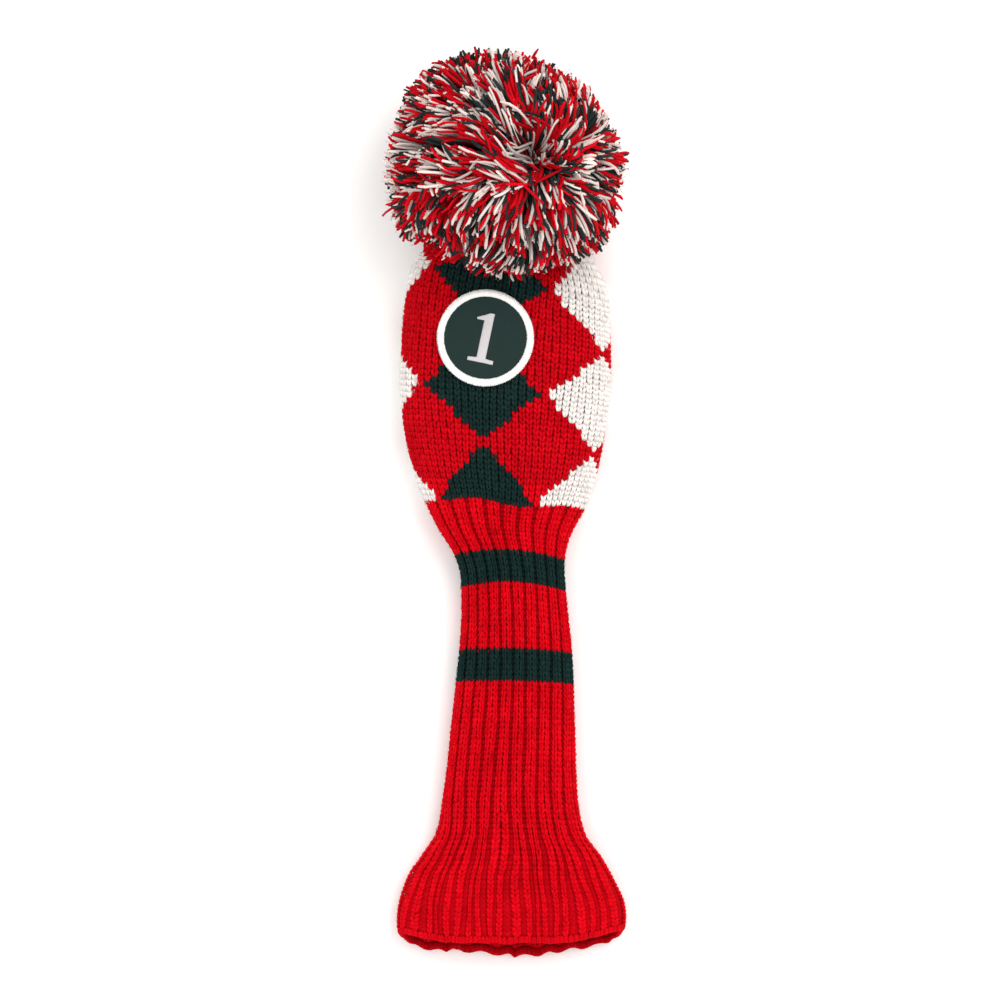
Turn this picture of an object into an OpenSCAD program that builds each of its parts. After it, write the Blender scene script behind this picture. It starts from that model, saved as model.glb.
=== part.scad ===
// Knitted driver head cover with a pom-pom, lying on its back on a table.
// +Y runs from the cuff's mouth to the pom-pom, +X is to the right seen from above,
// +Z goes up through the badge. z = 0 is the resting plane. Sizes in millimetres.

/* [Head] */
// greatest width of the relaxed head
head_w = 106; // [98:1:112]
// greatest thickness of the relaxed head
head_t = 38.6; // [34:0.2:42]
// thickness of the knitted fabric
knit_t = 2.4; // [1.8:0.1:2.8]
// thickness of the lining
liner_t = 1.2; // [0.8:0.1:1.6]

/* [Argyle] */
// distance from one diamond to the next along the head
diamond_pitch = 54.5; // [50:0.5:58]
// half length of a diamond along the head
diamond_half = 25.05; // [22:0.05:26]
// width of a diamond, in columns of stitches
diamond_wales = 15.3; // [12:0.1:15.8]
// how far the courses slope across the head at its top
course_slope = 0.21; // [0:0.01:0.25]

/* [Neck] */
// width of the neck at its narrowest
neck_w = 53; // [48:0.5:60]
// thickness of the flattened neck
neck_t = 27; // [24:0.5:30]
// number of ribs round the neck
ribs = 22; // [18:1:26]
// depth of the groove between ribs
rib_depth = 0.9; // [0.3:0.1:1.2]
// height of each dark stripe
stripe_h = 16.3; // [12:0.1:20]

/* [Cuff] */
// width of the flared cuff
cuff_w = 115.2; // [100:0.2:118]
// thickness of the flattened cuff
cuff_t = 24; // [21:0.5:27]

/* [Badge] */
// diameter over the badge's border
badge_d = 48; // [40:1:52]
// width of the raised border
border_w = 3.4; // [2.4:0.1:4.4]
// height of the numeral
numeral_h = 25; // [16:0.5:28]

/* [Pom-pom] */
// diameter over the strands
pom_d = 115; // [104:1:115]
// thickness of the cord that ties it on
cord_d = 2.6; // [1.6:0.1:3.2]

/* [Hidden] */
red = [0.77, 0.06, 0.08];
green = [0.09, 0.16, 0.15];
white = [0.93, 0.91, 0.88];

// places along the tube, from the head down to the mouth
argyle_top = 112;
rib_top = -2.5;             // where the argyle ends and the rib begins
stripe1_top = -29;
stripe1_bottom = stripe1_top - stripe_h;
stripe2_top = -76;
stripe2_bottom = stripe2_top - stripe_h;
cuff_top = -170;            // where the neck opens out into the cuff
hem_top = -219.5;           // start of the bound-off edge
mouth_y = -225;             // lowest point of the hem
liner_depth = knit_t + 1.2; // lining's outside, below the head's surface

// ---- Shape of the flattened tube ----

half_head = head_w / 2;
half_neck = neck_w / 2;
half_cuff = cuff_w / 2;

// columns of a station or a section: y, half width, centre x, top z, underside z
Y = 0;
HALF = 1;
CENTRE = 2;
TOP = 3;
UNDER = 4;
stations = [
  [-232, half_cuff,          1.4, cuff_t,        0],
  [-209, half_cuff,          1.4, cuff_t * 0.98, 0],
  [-190, half_cuff * 0.905,  1.0, cuff_t * 0.93, 0],
  [-178, half_cuff * 0.80,   1.8, cuff_t * 0.93, 0],
  [-166, half_neck * 1.43,   1.3, neck_t * 0.87, 0],
  [-148, half_neck * 1.29,   0.6, neck_t * 0.93, 0],
  [-112, half_neck * 1.18,   2.2, neck_t * 0.96, 0],
  [ -76, half_neck * 1.08,   3.2, neck_t * 0.98, 0],
  [ -40, half_neck,          2.2, neck_t,        0],
  [ -28, half_neck * 1.06,   0.3, neck_t * 1.03, 0],
  [ -16, half_neck * 1.26,  -2.2, neck_t * 1.09, 0],
  [  -2, half_head * 0.765, -2.4, head_t * 0.81, 0],
  [  20, half_head * 0.905, -2.6, head_t * 0.91, 0],
  [  50, half_head * 0.989, -2.4, head_t * 0.98, 0],
  [  74, half_head,         -1.5, head_t,        0],
  [  98, half_head * 0.968,  0,   head_t,        0],
  [ 112, half_head * 0.913,  1.6, head_t,        0],
  [ 124, half_head * 0.79,   1,   head_t,        2.5],
  [ 130, half_head * 0.62,   0.6, head_t * 0.97, 8],
  [ 134, half_head * 0.41,   0.3, head_t * 0.90, 14],
  [ 137, 6,                  0,   31,            23]
];
last_station = len(stations) - 1;

// station at the start of the span that holds y
function span_at(y, i = 0) =
  (i >= last_station - 1 || y < stations[i + 1][Y]) ? i : span_at(y, i + 1);
// slope of a column at station i, taken across its neighbours
function slope_at(i, column) = let (
    before = stations[max(0, i - 1)],
    after = stations[min(last_station, i + 1)])
  (after[column] - before[column]) / (after[Y] - before[Y]);
// smooth cubic through the stations
function profile(y, column) = let (
    i = span_at(y),
    h = stations[i + 1][Y] - stations[i][Y],
    t = (y - stations[i][Y]) / h)
  (2*t*t*t - 3*t*t + 1) * stations[i][column]
  + (t*t*t - 2*t*t + t) * h * slope_at(i, column)
  + (3*t*t - 2*t*t*t) * stations[i + 1][column]
  + (t*t*t - t*t) * h * slope_at(i + 1, column);
function section_at(y) = [y, profile(y, HALF), profile(y, CENTRE), profile(y, TOP),
  max(0, profile(y, UNDER))];

squareness = 2.4;           // exponent of the section's rounded-square curve
widest_share = 0.44;        // height of the widest point, as a share of the thickness
under_stretch = 1.25;       // the lower half is stretched by this, then cut off flat
point_shift = 0.18;         // moves points towards the top and underside, in radians

function widest_z(s) = s[UNDER] + widest_share * (s[TOP] - s[UNDER]);

// [x, z] on section s; turn is 0 at the top and grows clockwise seen from the cuff
function rim(s, turn, depth) = let (
    angle = 360 * turn - point_shift * 180 / PI * sin(720 * turn),
    across = sin(angle),
    up = cos(angle),
    power = 2 / squareness,
    mid = widest_z(s))
  [s[CENTRE] + (s[HALF] - depth) * sign(across) * pow(abs(across), power),
   up >= 0 ? mid + (s[TOP] - depth - mid) * pow(up, power)
     : max(s[UNDER] + depth,
           mid - under_stretch * (mid - s[UNDER] - depth) * pow(-up, power))];

// slope of the courses across the width, steepest at slope_peak_y
slope_peak_y = 108;
slope_fade = 28;
function tilt(y) = y < 0 ? 0
  : y < slope_peak_y ? course_slope * y / slope_peak_y
  : course_slope * max(0, 1 - (y - slope_peak_y) / slope_fade);

// kinds of tube end; an end is given as [y, kind, length over which its cut fades out]
SQUARE = 0;                 // not cut back
FOLD = 1;                   // leaves room to fold up and down
SWAY = 2;                   // leaves room to sway from side to side
MOUTH = 3;                  // follows the mouth's curve
CUFF_FOLD = 4;              // leaves room for the cuff to fold
fold_half = 12.7;           // half of a neck joint's bend, degrees, with a little to spare
sway_half = 6.2;
cuff_half = 15.2;
joint_gap = 0.1;
mouth_side_rise = 14;
mouth_top_rise = 5;

function wedge(distance, angle) = joint_gap + abs(distance) * tan(angle);
// how far an end with section s is cut back at x, z
function cut(kind, s, x, z) = let (
    off_x = x - s[CENTRE],
    off_z = z - (s[TOP] + s[UNDER]) / 2)
  kind == FOLD ? wedge(off_z, fold_half)
  : kind == SWAY ? wedge(off_x, sway_half)
  : kind == CUFF_FOLD ? wedge(off_z, cuff_half)
  : mouth_side_rise * pow(abs(off_x / s[HALF]), 3) + mouth_top_rise * z / s[TOP];
function end_shift(end, y, p) = end[1] == SQUARE ? 0
  : max(0, 1 - abs(y - end[0]) / end[2]) * cut(end[1], section_at(end[0]), p[0], p[1]);

// point of a tube between the ends low and high
function wall_pt(y, turn, depth, low, high) = let (
    s = section_at(y),
    p = rim(s, turn, depth))
  [p[0],
   y - tilt(y) * (p[0] - s[CENTRE]) + end_shift(low, y, p) - end_shift(high, y, p),
   p[1]];

// height of the head's upper surface over a point of the table
function top_z(x, y) = let (
    s = section_at(y + tilt(y) * (x - profile(y, CENTRE))),
    mid = widest_z(s))
  mid + (s[TOP] - mid)
    * pow(max(0, 1 - pow(abs(x - s[CENTRE]) / s[HALF], squareness)), 1 / squareness);

// ---- Faces of two-layer sheets ----
// Each layer has bands + 1 rows of w points, the outer layer first. A row has w cells
// where it closes on itself, and w - 1 where it is open.

function quad(a, b, c, d) = [[a, b, c], [a, c, d]];
function skin_faces(w, bands, cells) = let (m = w * (bands + 1))
  [for (j = [0:bands - 1]) for (i = [0:cells - 1])
    let (a = j * w + i, b = j * w + (i + 1) % w)
    each concat(quad(a, b, b + w, a + w), quad(m + a, m + a + w, m + b + w, m + b))];
function first_edge(w, bands, cells) = let (m = w * (bands + 1))
  [for (i = [0:cells - 1]) let (b = (i + 1) % w) each quad(i, m + i, m + b, b)];
function last_edge(w, bands, cells) = let (m = w * (bands + 1))
  [for (i = [0:cells - 1]) let (a = bands * w + i, b = bands * w + (i + 1) % w)
    each quad(a, b, m + b, m + a)];
function side_edges(w, bands) = let (m = w * (bands + 1))
  [for (j = [0:bands - 1]) let (a = j * w, b = a + w - 1)
    each concat(quad(a, a + w, m + a + w, m + a), quad(b, m + b, m + b + w, b + w))];
function sheet_faces(w, bands, cells) = concat(
  skin_faces(w, bands, cells), first_edge(w, bands, cells), last_edge(w, bands, cells));

// closed tube wall from depth outer to depth inner, with grooves cut into its outside
module tube_wall(low, high, outer, inner, around, bands, grooves = 0, groove_depth = 0) {
  rows = [for (j = [0:bands]) low[0] + (high[0] - low[0]) * j / bands];
  outside = [for (y = rows) for (i = [0:around - 1])
    let (groove = groove_depth * (0.5 - 0.5 * cos(360 * grooves * i / around)))
    wall_pt(y, i / around, outer + groove, low, high)];
  inside = [for (y = rows) for (i = [0:around - 1])
    wall_pt(y, i / around, inner, low, high)];
  polyhedron(
    points = concat(outside, inside),
    faces = sheet_faces(around, bands, around),
    convexity = 6);
}

// ---- Argyle ----
// Places round the head are in turns, as for rim.

wales = 66;                 // columns of stitches round the head
green_turn = -3 / wales;    // middle of the first green column of diamonds
column_turn = 0.25;         // from one column of diamonds to the next
diamond_turn = diamond_wales / 2 / wales;
tip_turn = 0.35 / wales;    // half width of a diamond's blunt tip
gap_turn = 0.03 / wales;    // gap between a diamond and the red
tip_gap = 0.25;             // gap beyond a tip, along the head
diamond_steps = 5;
// three rows of diamonds, the lowest and highest cut by the ends of the pattern
row_middles = [for (r = [0:2]) -1 + diamond_pitch * r];

function reach(y, middle) =
  max(tip_turn, diamond_turn * (1 - abs(y - middle) / diamond_half));
// places along one diamond, clipped to the pattern's ends
function diamond_ys(middle) = let (
    all = [for (k = [-diamond_steps:diamond_steps])
      middle + diamond_half * k / diamond_steps])
  concat(
    all[0] < rib_top ? [rib_top] : [],
    [for (y = all) if (y > rib_top && y < argyle_top) y],
    all[2 * diamond_steps] > argyle_top ? [argyle_top] : []);

// patch of fabric, cells wide; rows are [y, turn of one edge, turn of the other]
module panel(rows, cells) {
  low = [rib_top, FOLD, 14];
  high = [argyle_top, SQUARE];
  bands = len(rows) - 1;
  polyhedron(
    points = [for (depth = [0, knit_t]) for (r = rows) for (i = [0:cells])
      wall_pt(r[0], r[1] + (r[2] - r[1]) * i / cells, depth, low, high)],
    faces = concat(sheet_faces(cells + 1, bands, cells), side_edges(cells + 1, bands)),
    convexity = 4);
}
module diamonds(turn) {
  for (c = row_middles)
    panel([for (y = diamond_ys(c)) [y, turn - reach(y, c), turn + reach(y, c)]], cells = 8);
}
// edge of the red beside a column of diamonds: [y, distance from the column's middle]
red_edge = [for (r = [0:2]) let (c = row_middles[r], ys = diamond_ys(c)) each concat(
  r == 0 ? [] : [[ys[0] - tip_gap, gap_turn]],
  [for (y = ys) [y, reach(y, c) + gap_turn]],
  r == 2 ? [] : [[ys[len(ys) - 1] + tip_gap, gap_turn]])];
module red_strip(turn) {
  panel([for (e = red_edge) [e[0], turn + e[1], turn + column_turn - e[1]]], cells = 9);
}

module head_knit_red() color(red)
  for (k = [0:3]) red_strip(green_turn + k * column_turn);
module head_diamonds_green() color(green) {
  diamonds(green_turn);
  diamonds(green_turn + 2 * column_turn);
}
module head_diamonds_white() color(white) {
  diamonds(green_turn + column_turn);
  diamonds(green_turn + 3 * column_turn);
}

// ---- Crown and lining ----

pivot = [0, 142, 27];       // the tie knot, about which the pom-pom swings
button_y = 121;
button_t = 1.8;
anchor_y = button_y + button_t + 0.3;
knot_room = 2.5;            // from the knot's middle to the cords' ends

// places a piece on the crown's axis, its own z along +Y
module on_crown(y) translate([0, y, pivot[2]]) rotate([-90, 0, 0]) children();

module crown_knit() color(red)
  tube_wall([argyle_top + 0.2, SQUARE], [137, SQUARE],
    outer = 0, inner = knit_t, around = 48, bands = 8);
module crown_gather_cord() color(red)
  translate([0, 138.2, pivot[2]]) rotate([90, 0, 0])
    rotate_extrude($fn = 48) translate([4.6, 0]) circle(r = 0.75, $fn = 24);
module crown_button() color([0.2, 0.2, 0.2])
  on_crown(button_y) cylinder(r = 5, h = button_t, $fn = 48);
module pom_anchor_cord() color(white)
  on_crown(anchor_y) cylinder(r = cord_d / 2, h = pivot[1] - knot_room - anchor_y, $fn = 32);

module head_liner() color([0.35, 0.05, 0.06])
  tube_wall([6, FOLD, 20], [131, SQUARE],
    outer = liner_depth, inner = liner_depth + liner_t, around = 36, bands = 11);
// the long fade at the upper end keeps it parallel to the lower one
module liner_hem() color([0.25, 0.04, 0.05])
  tube_wall([3.4, FOLD, 20], [5.8, FOLD, 1000],
    outer = liner_depth, inner = liner_depth + liner_t * 1.4, around = 36, bands = 1);

// ---- Pom-pom ----

pom_middle = [-1.5, 167.5, 51];
pom_r = pom_d / 2;
pom_lean = [-6, 19, 0];
tie = pom_middle - pivot;
tie_len = norm(tie);
tie_end_room = 8;           // from the tie cord's end to the pom-pom's middle
slice_angle = 30;
slice_start = 23;

// places a piece at the knot, its own z towards the pom-pom's middle
module along_tie()
  translate(pivot) rotate([0, 0, atan2(tie[1], tie[0])])
    rotate([0, acos(tie[2] / tie_len), 0]) children();

// slice k of the pom-pom's ball, with a half-degree parting at each side
module pom_slice(k) {
  r = pom_r + 6;
  start = slice_angle * k + slice_start;
  middle = start + slice_angle / 2;
  rotate(pom_lean) translate([0, 0, -r]) linear_extrude(2 * r)
    polygon([
      0.4 * [cos(middle), sin(middle)],
      for (i = [0:3]) let (a = start + 0.5 + (slice_angle - 1) * i / 3)
        1.2 * r * [cos(a), sin(a)]
    ]);
}
// strands of one colour, trimmed round the binding, the head, the cord and the table
module pom_mass(slices) {
  difference() {
    intersection() {
      translate(pom_middle) sphere(r = pom_r, $fn = 64);
      translate(pom_middle) union() for (k = slices) pom_slice(k);
      translate([-100, 60, 0.4]) cube([200, 200, 200]);
    }
    translate(pom_middle) sphere(r = 8.4, $fn = 48);
    // room for the head while the pom-pom swings
    translate([-90, 0, 0]) rotate([90, 0, 90]) linear_extrude(180)
      polygon([
        [pivot[1] + 4, -10],
        [pivot[1] + 4, pivot[2] + 13.5],
        [pivot[1] - 35, pivot[2] + 30],
        [pivot[1] - 70, pivot[2] + 46],
        [pivot[1] - 70, -10]
      ]);
    along_tie() cylinder(r = cord_d / 2 + 0.4, h = tie_len, $fn = 32);
  }
}

module pom_tie_knot() color(white) translate(pivot) sphere(r = 2.2, $fn = 32);
module pom_tie_cord() color(white)
  along_tie() translate([0, 0, knot_room])
    cylinder(r = cord_d / 2, h = tie_len - knot_room - tie_end_room, $fn = 32);
module pom_binding() color(white)
  translate(pom_middle) rotate(pom_lean)
    rotate_extrude($fn = 48) translate([5.6, 0]) circle(r = 1.6, $fn = 24);
module pom_yarn_red() color(red) pom_mass([0, 2, 4, 6, 8, 10]);
module pom_yarn_white() color(white) pom_mass([1, 5, 9]);
module pom_yarn_green() color(green) pom_mass([3, 7, 11]);

// ---- Badge ----
// Heights of its layers are above the head's surface.

badge_x = -11.8;
badge_y = 80;
border_inner_r = badge_d / 2 - border_w;
patch_r = border_inner_r - 0.1;

function badge_pt(r, angle, height) = let (
    x = badge_x + r * cos(angle),
    y = badge_y + r * sin(angle))
  [x, y, top_z(x, y) + height];

// ring laid over the head, its top bulging by crown
module laid_ring(r0, r1, low, high, crown, bands, around) {
  polyhedron(
    points = [for (top = [true, false]) for (k = [0:bands]) for (i = [0:around - 1])
      badge_pt(r0 + (r1 - r0) * k / bands, 360 * i / around,
        top ? high + crown * sin(180 * k / bands) : low)],
    faces = sheet_faces(around, bands, around),
    convexity = 4);
}
// disc laid over the head: rings of points, closed by a fan at the middle
module laid_disc(low, high, rings = 4, around = 36) {
  m = around * rings;
  layers = [for (height = [high, low]) for (k = [1:rings]) for (i = [0:around - 1])
    badge_pt(patch_r * k / rings, 360 * i / around, height)];
  polyhedron(
    points = concat(layers, [badge_pt(0, 0, high), badge_pt(0, 0, low)]),
    faces = concat(
      [for (i = [0:around - 1]) let (b = (i + 1) % around)
        each [[2 * m, b, i], [2 * m + 1, m + i, m + b]]],
      skin_faces(around, rings - 1, around),
      last_edge(around, rings - 1, around)),
    convexity = 4);
}

module patch_backing() color([0.15, 0.17, 0.17]) laid_disc(low = 0.2, high = 0.6);
module patch_twill() color(green) laid_disc(low = 0.75, high = 1.45);
module patch_border() color(white)
  laid_ring(border_inner_r, badge_d / 2,
    low = 0.2, high = 1.3, crown = 1.0, bands = 3, around = 48);

// outline of the numeral 1, drawn numeral_drawn_h high: x, y
numeral_drawn_h = 25;
numeral_outline = [
  [-6.5, -12.5], [6.5, -12.5], [6.5, -10.9], [2.2, -10.4], [2.2, 12.5], [0.6, 12.5],
  [-6, 9.2], [-6, 8.0], [-2.2, 8.6], [-2.2, -10.4], [-6.5, -10.9]
];
// flat, and leaning with the head's surface under the badge's middle
module patch_numeral() color([0.78, 0.77, 0.77]) let (
    reach = 6,
    slope_x = (top_z(badge_x + reach, badge_y) - top_z(badge_x - reach, badge_y)) / (2 * reach),
    slope_y = (top_z(badge_x, badge_y + reach) - top_z(badge_x, badge_y - reach)) / (2 * reach))
  translate(badge_pt(0, 0, 1.75))
  rotate([atan(slope_y), -atan(slope_x), 0]) rotate([0, 0, -12])
  linear_extrude(0.6) polygon(numeral_h / numeral_drawn_h * numeral_outline);

// ---- Neck and cuff ----

rib_points = ribs * 4;      // points round a ribbed tube

// ribbed length of neck; each end's cut fades out at its middle
module sleeve(top, top_kind, bottom, bottom_kind, bands) {
  fade = (top - bottom) / 2;
  tube_wall([bottom, bottom_kind, fade], [top, top_kind, fade],
    outer = 0, inner = knit_t, around = rib_points, bands = bands,
    grooves = ribs, groove_depth = rib_depth);
}

module neck_rib_upper() color(red) sleeve(rib_top, FOLD, stripe1_top, SWAY, bands = 5);
module neck_stripe_upper() color(green)
  sleeve(stripe1_top, SWAY, stripe1_bottom, FOLD, bands = 3);
module neck_rib_middle() color(red)
  sleeve(stripe1_bottom, FOLD, stripe2_top, SWAY, bands = 4);
module neck_elastic() color([0.85, 0.83, 0.8])
  tube_wall([-63, SQUARE], [-58, SQUARE],
    outer = knit_t + 0.3, inner = knit_t + 1.1, around = 48, bands = 1);
module neck_stripe_lower() color(green)
  sleeve(stripe2_top, SWAY, stripe2_bottom, FOLD, bands = 3);
module neck_rib_lower() color(red)
  sleeve(stripe2_bottom, FOLD, cuff_top, CUFF_FOLD, bands = 6);
module cuff_rib() color(red)
  tube_wall([hem_top, MOUTH, 40], [cuff_top, CUFF_FOLD, 20],
    outer = 0, inner = knit_t, around = rib_points, bands = 6,
    grooves = ribs, groove_depth = rib_depth * 0.7);
// the very long fade carries the mouth's curve through to the upper edge
module cuff_bind_off() color([0.70, 0.05, 0.08])
  tube_wall([mouth_y, MOUTH, 100000], [hem_top - 0.4, SQUARE],
    outer = 0, inner = knit_t * 1.1, around = rib_points, bands = 1,
    grooves = ribs, groove_depth = rib_depth * 0.5);

head_knit_red();
head_diamonds_green();
head_diamonds_white();
crown_knit();
crown_gather_cord();
crown_button();
pom_anchor_cord();
pom_tie_knot();
pom_tie_cord();
pom_binding();
pom_yarn_red();
pom_yarn_white();
pom_yarn_green();
head_liner();
liner_hem();
patch_backing();
patch_twill();
patch_border();
patch_numeral();
neck_rib_upper();
neck_stripe_upper();
neck_rib_middle();
neck_elastic();
neck_stripe_lower();
neck_rib_lower();
cuff_rib();
cuff_bind_off();
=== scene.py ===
"""A knitted head cover with a pom-pom, lying flat on the floor.

The open cuff is towards -Y, the crown and the pom-pom towards +Y, and the badge
faces up (+Z). Sizes are in millimetres; make_mesh turns them into metres.
Cloth coordinates: u counts stitch columns round the tube, from the middle of the
top towards +X; v runs along the tube, close to y.
"""
import math
from collections import namedtuple
import bpy
import numpy as np
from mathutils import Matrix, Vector
from mathutils.bvhtree import BVHTree


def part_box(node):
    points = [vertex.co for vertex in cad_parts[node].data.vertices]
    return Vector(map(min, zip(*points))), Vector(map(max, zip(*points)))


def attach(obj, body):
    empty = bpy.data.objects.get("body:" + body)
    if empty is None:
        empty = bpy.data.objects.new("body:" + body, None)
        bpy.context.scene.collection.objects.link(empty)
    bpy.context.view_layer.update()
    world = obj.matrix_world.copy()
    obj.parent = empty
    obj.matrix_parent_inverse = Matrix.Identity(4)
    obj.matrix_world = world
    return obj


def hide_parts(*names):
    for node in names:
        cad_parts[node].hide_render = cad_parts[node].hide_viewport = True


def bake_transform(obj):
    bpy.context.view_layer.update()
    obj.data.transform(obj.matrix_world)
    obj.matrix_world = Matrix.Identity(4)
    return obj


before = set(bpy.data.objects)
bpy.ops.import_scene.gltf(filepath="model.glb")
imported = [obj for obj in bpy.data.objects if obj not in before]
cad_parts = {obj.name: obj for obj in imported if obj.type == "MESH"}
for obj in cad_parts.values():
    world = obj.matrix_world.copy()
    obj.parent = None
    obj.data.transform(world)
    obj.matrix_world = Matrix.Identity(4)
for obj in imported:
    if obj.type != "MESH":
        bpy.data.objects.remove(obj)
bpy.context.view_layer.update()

rng = np.random.default_rng(20)


# ---------------------------------------------------------------- sizes taken from the frame
def box_mm(node):
    low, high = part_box(node)
    return np.array(low) * 1000.0, np.array(high) * 1000.0


def middle(node):
    low, high = box_mm(node)
    return (low + high) / 2


white_low, white_high = box_mm("head_diamonds_white")
HEAD_HALF = (white_high[0] - white_low[0]) / 2 - 0.2
HEAD_TOP = box_mm("head_knit_red")[1][2]
upper_low, upper_high = box_mm("neck_stripe_upper")
lower_low, lower_high = box_mm("neck_stripe_lower")
NECK_HALF = (upper_high[0] - upper_low[0]) / 2.1
NECK_TOP = upper_high[2] / 1.02
cuff_low, cuff_high = box_mm("cuff_bind_off")
CUFF_HALF = (cuff_high[0] - cuff_low[0]) / 2
CUFF_TOP = cuff_high[2]
Y_MOUTH = cuff_low[1]
# each green stripe: its crown-side edge, then its mouth-side edge
STRIPE_1 = upper_high[1] + 0.1, upper_low[1] - 0.1
STRIPE_2 = lower_high[1] + 0.1, lower_low[1] - 0.1
Y_RIB = box_mm("neck_rib_upper")[1][1] + 0.1
border_low, border_high = box_mm("patch_border")
BADGE_CENTRE = (border_low + border_high) / 2
BADGE_R = (border_high[0] - border_low[0]) / 2
pom_boxes = [box_mm(f"pom_yarn_{colour}") for colour in ("red", "white", "green")]
POM_R = (max(high[1] for _, high in pom_boxes) - min(low[1] for low, _ in pom_boxes)) / 2
POM_CENTRE = middle("pom_binding")
PIVOT = middle("pom_tie_knot")

COLUMNS = 66            # stitch columns round the tube
RIB_PITCH = 2.62        # between courses of the rib
DIAMOND_PITCH = 54.5    # between rows of diamonds
HEAD_PITCH = DIAMOND_PITCH / 20.0
Y_CROWN = 134.0         # last row of cloth behind the stitches


# ---------------------------------------------------------------- small helpers
def unit(vectors, guard=0.0):
    return vectors / (np.linalg.norm(vectors, axis=-1, keepdims=True) + guard)


def smoothstep(t):
    t = np.clip(t, 0, 1)
    return t * t * (3 - 2 * t)


def mix(share, at_one, at_zero):
    return at_one * share + at_zero * (1 - share)


# ---------------------------------------------------------------- the cover as a tube
# y, half width, centre x, top z, underside z
STATIONS = np.array([
    [-232, CUFF_HALF, 1.4, CUFF_TOP, 0],
    [-209, CUFF_HALF, 1.4, CUFF_TOP * 0.98, 0],
    [-190, CUFF_HALF * 0.905, 1.0, CUFF_TOP * 0.93, 0],
    [-178, CUFF_HALF * 0.80, 1.8, CUFF_TOP * 0.93, 0],
    [-166, NECK_HALF * 1.43, 1.3, NECK_TOP * 0.87, 0],
    [-148, NECK_HALF * 1.29, 0.6, NECK_TOP * 0.93, 0],
    [-112, NECK_HALF * 1.18, 2.2, NECK_TOP * 0.96, 0],
    [-76, NECK_HALF * 1.08, 3.2, NECK_TOP * 0.98, 0],
    [-40, NECK_HALF, 2.2, NECK_TOP, 0],
    [-28, NECK_HALF * 1.06, 0.3, NECK_TOP * 1.03, 0],
    [-16, NECK_HALF * 1.26, -2.2, NECK_TOP * 1.09, 0],
    [-2, HEAD_HALF * 0.765, -2.4, HEAD_TOP * 0.81, 0],
    [20, HEAD_HALF * 0.905, -2.6, HEAD_TOP * 0.91, 0],
    [50, HEAD_HALF * 0.989, -2.4, HEAD_TOP * 0.98, 0],
    [74, HEAD_HALF, -1.5, HEAD_TOP, 0],
    [98, HEAD_HALF * 0.968, 0, HEAD_TOP, 0],
    [112, HEAD_HALF * 0.913, 1.6, HEAD_TOP, 0],
    [124, HEAD_HALF * 0.79, 1, HEAD_TOP, 2.5],
    [130, HEAD_HALF * 0.62, 0.6, HEAD_TOP * 0.97, 8],
    [134, HEAD_HALF * 0.41, 0.3, HEAD_TOP * 0.90, 14],
    [137, 6, 0, 31, 23],
], float)


def station_curve(y, column):
    """Smooth (Hermite) curve through one column of STATIONS."""
    knots = STATIONS[:, 0]
    value = STATIONS[:, column]
    slope = np.empty_like(value)
    slope[1:-1] = (value[2:] - value[:-2]) / (knots[2:] - knots[:-2])
    slope[0] = (value[1] - value[0]) / (knots[1] - knots[0])
    slope[-1] = (value[-1] - value[-2]) / (knots[-1] - knots[-2])
    i = np.clip(np.searchsorted(knots, y, side="right") - 1, 0, len(knots) - 2)
    gap = knots[i + 1] - knots[i]
    t = (y - knots[i]) / gap
    return ((2 * t**3 - 3 * t**2 + 1) * value[i] + (t**3 - 2 * t**2 + t) * gap * slope[i]
            + (3 * t**2 - 2 * t**3) * value[i + 1] + (t**3 - t**2) * gap * slope[i + 1])


GRID_V = np.arange(-226.0, 137.01, 1.0)
GRID_ROWS = len(GRID_V)
PER_COLUMN = 8          # grid points in one stitch column
GRID_COLS = COLUMNS * PER_COLUMN
half, centre_x, top, under = (station_curve(GRID_V, k)[:, None] for k in (1, 2, 3, 4))
under = np.maximum(under, 0)


def tube_sections():
    """Sections of the tube at even steps round it: x, z and the length round each."""
    power = 2 / 2.4     # superellipse, a little squarer than an ellipse
    soft = 1.6          # rounds the change to the flat underside
    angle = np.linspace(0, 2 * np.pi, 1441)
    sine, cosine = np.sin(angle), np.cos(angle)
    waist = under + 0.44 * (top - under)
    x = centre_x + half * np.sign(sine) * np.abs(sine) ** power
    above = waist + (top - waist) * np.abs(cosine) ** power
    rise = waist - 1.25 * (waist - under) * np.abs(cosine) ** power - under
    below = under + 0.5 * (rise + np.sqrt(rise * rise + soft * soft))
    z = np.where(cosine >= 0, above, np.minimum(below, waist + 0.5 * soft))
    z = np.minimum(z, np.where(cosine >= 0, z, waist + 0.5 * soft))
    steps = np.hypot(np.diff(x, axis=1), np.diff(z, axis=1))
    run = np.concatenate([np.zeros((GRID_ROWS, 1)), np.cumsum(steps, 1)], 1)
    length = run[:, -1]
    even_x = np.empty((GRID_ROWS, GRID_COLS))
    even_z = np.empty((GRID_ROWS, GRID_COLS))
    t = np.arange(GRID_COLS) / GRID_COLS
    for j in range(GRID_ROWS):
        even_x[j] = np.interp(t * length[j], run[j], x[j])
        even_z[j] = np.interp(t * length[j], run[j], z[j])
    return even_x, even_z, length


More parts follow.
